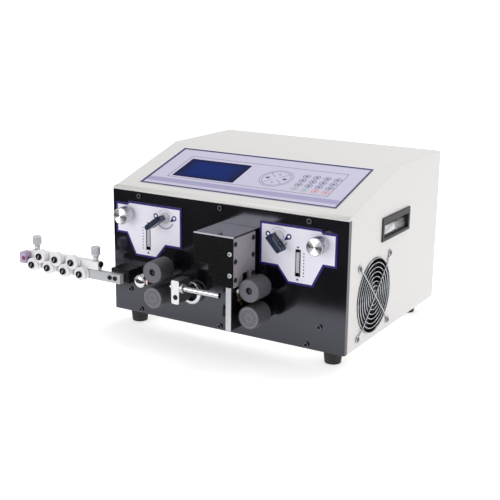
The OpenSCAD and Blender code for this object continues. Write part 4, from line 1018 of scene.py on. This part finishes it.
# %% Straightener screws
THUMB_Y = -33
top_out = Vector((0, 0, 1))
for label, x in (("left", -335), ("right", -214)):
    low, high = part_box("thumb_screw_" + label)
    tip, end = (high.z - DATUM.z) / MM, (low.z - DATUM.z) / MM
    profile = [(0, tip), (6.2, tip), (6.9, tip - 0.5), (7.2, tip - 1.2, 0.2), (7.2, tip - 12, 0.2),
               (6.8, tip - 12.8), (5.6, tip - 13.2), (5.4, tip - 13.6), (5.4, tip - 15.2),
               (4.5, tip - 15.2), (4.5, tip - 9.5), (2, tip - 9.5), (2, end), (0, end)]
    knob = turned_piece("thumb_" + label + "_turned", profile, spot(x, THUMB_Y, 0), top_out, nickel,
                        "thumb_" + label, 112)
    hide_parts("thumb_screw_" + label)
    turned_piece("thumb_sleeve_" + label, [(2.3, 0), (4.1, 0), (4.1, 7.4), (2.3, 7.4), (2.3, 0)],
                 spot(x, THUMB_Y, 83), top_out, nickel, "straightener_upper")
end_screw = [(0, 1.6), (2.2, 1.6), (2.4, 3.2), (4.2, 2.8), (4.9, 1.4), (5.0, 0), (0, 0)]
turned_piece("slide_end_screw", end_screw, spot(-206, -32, 78.4), side_out, dark_steel,
             "straightener_upper")
AXLE_PITCH, SLOT_TURN = 33, 62
c, s = turn_of(SLOT_TURN)
for body, first, count, z in (("machine", -332.95, 4, 62.05), ("straightener_upper", -316.45, 3, 77.95)):
    slots = bmesh.new()
    for k in range(count):
        x = first + AXLE_PITCH * k
        bar = [(x + a * c - b * s, z + a * s + b * c) for a, b in rectangle(-3.2, -0.9, 3.2, 0.9)]
        fill(slots, on_plate, bar, 52.85, 53.0)
    piece_of(slots, "axle_slots_" + body, grey_coat, body)
socket_head = template([(0, 0.8), (1.7, 0.8), (1.7, 2.0), (3.2, 2.0), (3.6, 1.6), (3.6, 0), (0, 0)])
on_points("bar_screws", socket_head, [(spot(x, -38, 62.1), front_out) for x in (-183, -173)], dark_steel)
print("straightener screws turned")

# %% [markdown]
# Each side has a handle pocket in a black frame. A polished spring flap stands low in it and gives way
# to the fingers, which reach up behind the grip. It leans a little, so it mirrors the pale table.

# %% Handle flaps
HANDLE_Y, HANDLE_Z, FLAP_HALF, FLAP_T = 162, 159.5, 44.6, 0.8
flap_plate = vary(finish("rolled_plated_sheet", Metallic=0.55), 2.0, ("#d5d6db", "#e6e7ea"), (0.22, 0.32),
                  0.01, 3.0, (1, 0.1, 1))
curve = [(199.4, -12.6), (199.2, -9), (198.6, -5), (197.6, -1), (196.0, 2.4)]
for s, label in SIDES:
    flap = bmesh.new()
    ends = []
    for y in (HANDLE_Y - FLAP_HALF, HANDLE_Y + FLAP_HALF):
        ends.append([[flap.verts.new(spot(s * (x - thick), y, HANDLE_Z + z)) for x, z in curve]
                     for thick in (0, FLAP_T)])
    (a, b), (c, d) = ends
    for one, two in ((a, c), (b, d), (a, b), (c, d)):
        for k in range(len(curve) - 1):
            flap.faces.new((one[k], one[k + 1], two[k + 1], two[k])).smooth = True
    for k in (0, -1):
        flap.faces.new((a[k], c[k], d[k], b[k]))
    piece_of(flap, label + "_handle_flap", flap_plate)
print("handles dressed")

# %% [markdown]
# The studio is a lit white table that runs to the horizon, a soft pale room and three large lamps: one
# overhead and a little behind for the top, a weak one at the right for the side, and one in front. A
# dark card that only reflections see lies before the machine, so the glossy plate shows a dark room
# above the table. A small bright one at the front left lights the head's top by way of the plate.

# %% Studio: table and room
TABLE_HALF, ROOM_LIGHT, SEEN_MORE = 90, 0.6, 0.5
table = rectangle(-TABLE_HALF, -TABLE_HALF, TABLE_HALF, TABLE_HALF)
floor_mesh = bpy.data.meshes.new("floor")
floor_mesh.from_pydata([(x, y, 0) for x, y in table], [], [(0, 1, 2, 3)])
floor = placed("floor", floor_mesh)
pale = vary(finish("lit_white_table", Emission_Color=(1, 1, 1, 1), Emission_Strength=0.46), 30,
            ("#f4f4f4", "#f6f6f6"), (0.8, 0.9), 0.001)
floor_mesh.materials.append(pale)
world = bpy.data.worlds.new("studio")
bpy.context.scene.world = world
world.use_nodes = True
tree = world.node_tree
seen = add(tree, "ShaderNodeLightPath").outputs["Is Camera Ray"]
level = add(tree, "ShaderNodeMath", {0: seen, 1: SEEN_MORE, 2: ROOM_LIGHT}, operation="MULTIPLY_ADD")
room = tree.nodes["Background"].inputs
room["Color"].default_value = linear("#ffffff")
tree.links.new(level.outputs[0], room["Strength"])
print("table set")

# %% [markdown]
# Large lamps give soft edges to the shadows. The dark card's corners follow the line on the plate where
# the pale reflection ends.

# %% Studio: lamps and cards


def lamp(name, place, aim, size, power):
    """A square lamp that points at a place."""
    light = bpy.data.lights.new(name, "AREA")
    light.shape, light.size, light.energy = "SQUARE", size, power
    made = placed(name, light)
    made.location = place
    made.rotation_euler = (Vector(aim) - Vector(place)).to_track_quat("-Z", "Y").to_euler()


lamp("top_soft_box", (0.3, 1.25, 2.4), (0, 0.1, 0.2), 1.6, 33)
lamp("right_soft_box", (2.4, 0.2, 1.3), (0, 0, 0.15), 1.4, 4)
lamp("front_soft_box", (-0.6, -2.2, 0.8), (0, 0, 0.1), 1.2, 11)


def card(name, corners, used):
    """A flat card that only reflections see."""
    mesh = bpy.data.meshes.new(name)
    mesh.from_pydata([tuple(c) for c in corners], [], [tuple(range(len(corners)))])
    mesh.materials.append(used)
    made = placed(name, mesh)
    made.visible_camera = made.visible_diffuse = made.visible_shadow = False


dark_edge = [(-2500, 300), (-420, -120), (-200, -215), (20, -228), (600, -228), (600, -2200),
             (-2500, -2200)]
flag = vary(finish("black_flag_cloth"), 5, ("#020202", "#040404"), (0.9, 1.0), 0.01)
card("dark_card", [spot(x, y, -21) for x, y in dark_edge], flag)
glow = vary(finish("lit_diffuser_cloth", Emission_Color=(1, 1, 1, 1), Emission_Strength=7), 5,
            ("#f0f0f0", "#f6f6f6"), (0.9, 1.0), 0.01)
CARD_AWAY, CARD_HALF = 2.0, 0.3
away = Vector((-0.518, -0.8205, 0.242))
across = away.cross(top_out).normalized()
over = across.cross(away)
middle = spot(26, -34, HEAD_TOP) + away * CARD_AWAY
bright_edge = rectangle(-CARD_HALF, -CARD_HALF, CARD_HALF, CARD_HALF)
card("bright_card", [middle + across * a + over * b for a, b in bright_edge], glow)
print("lamps and cards set")
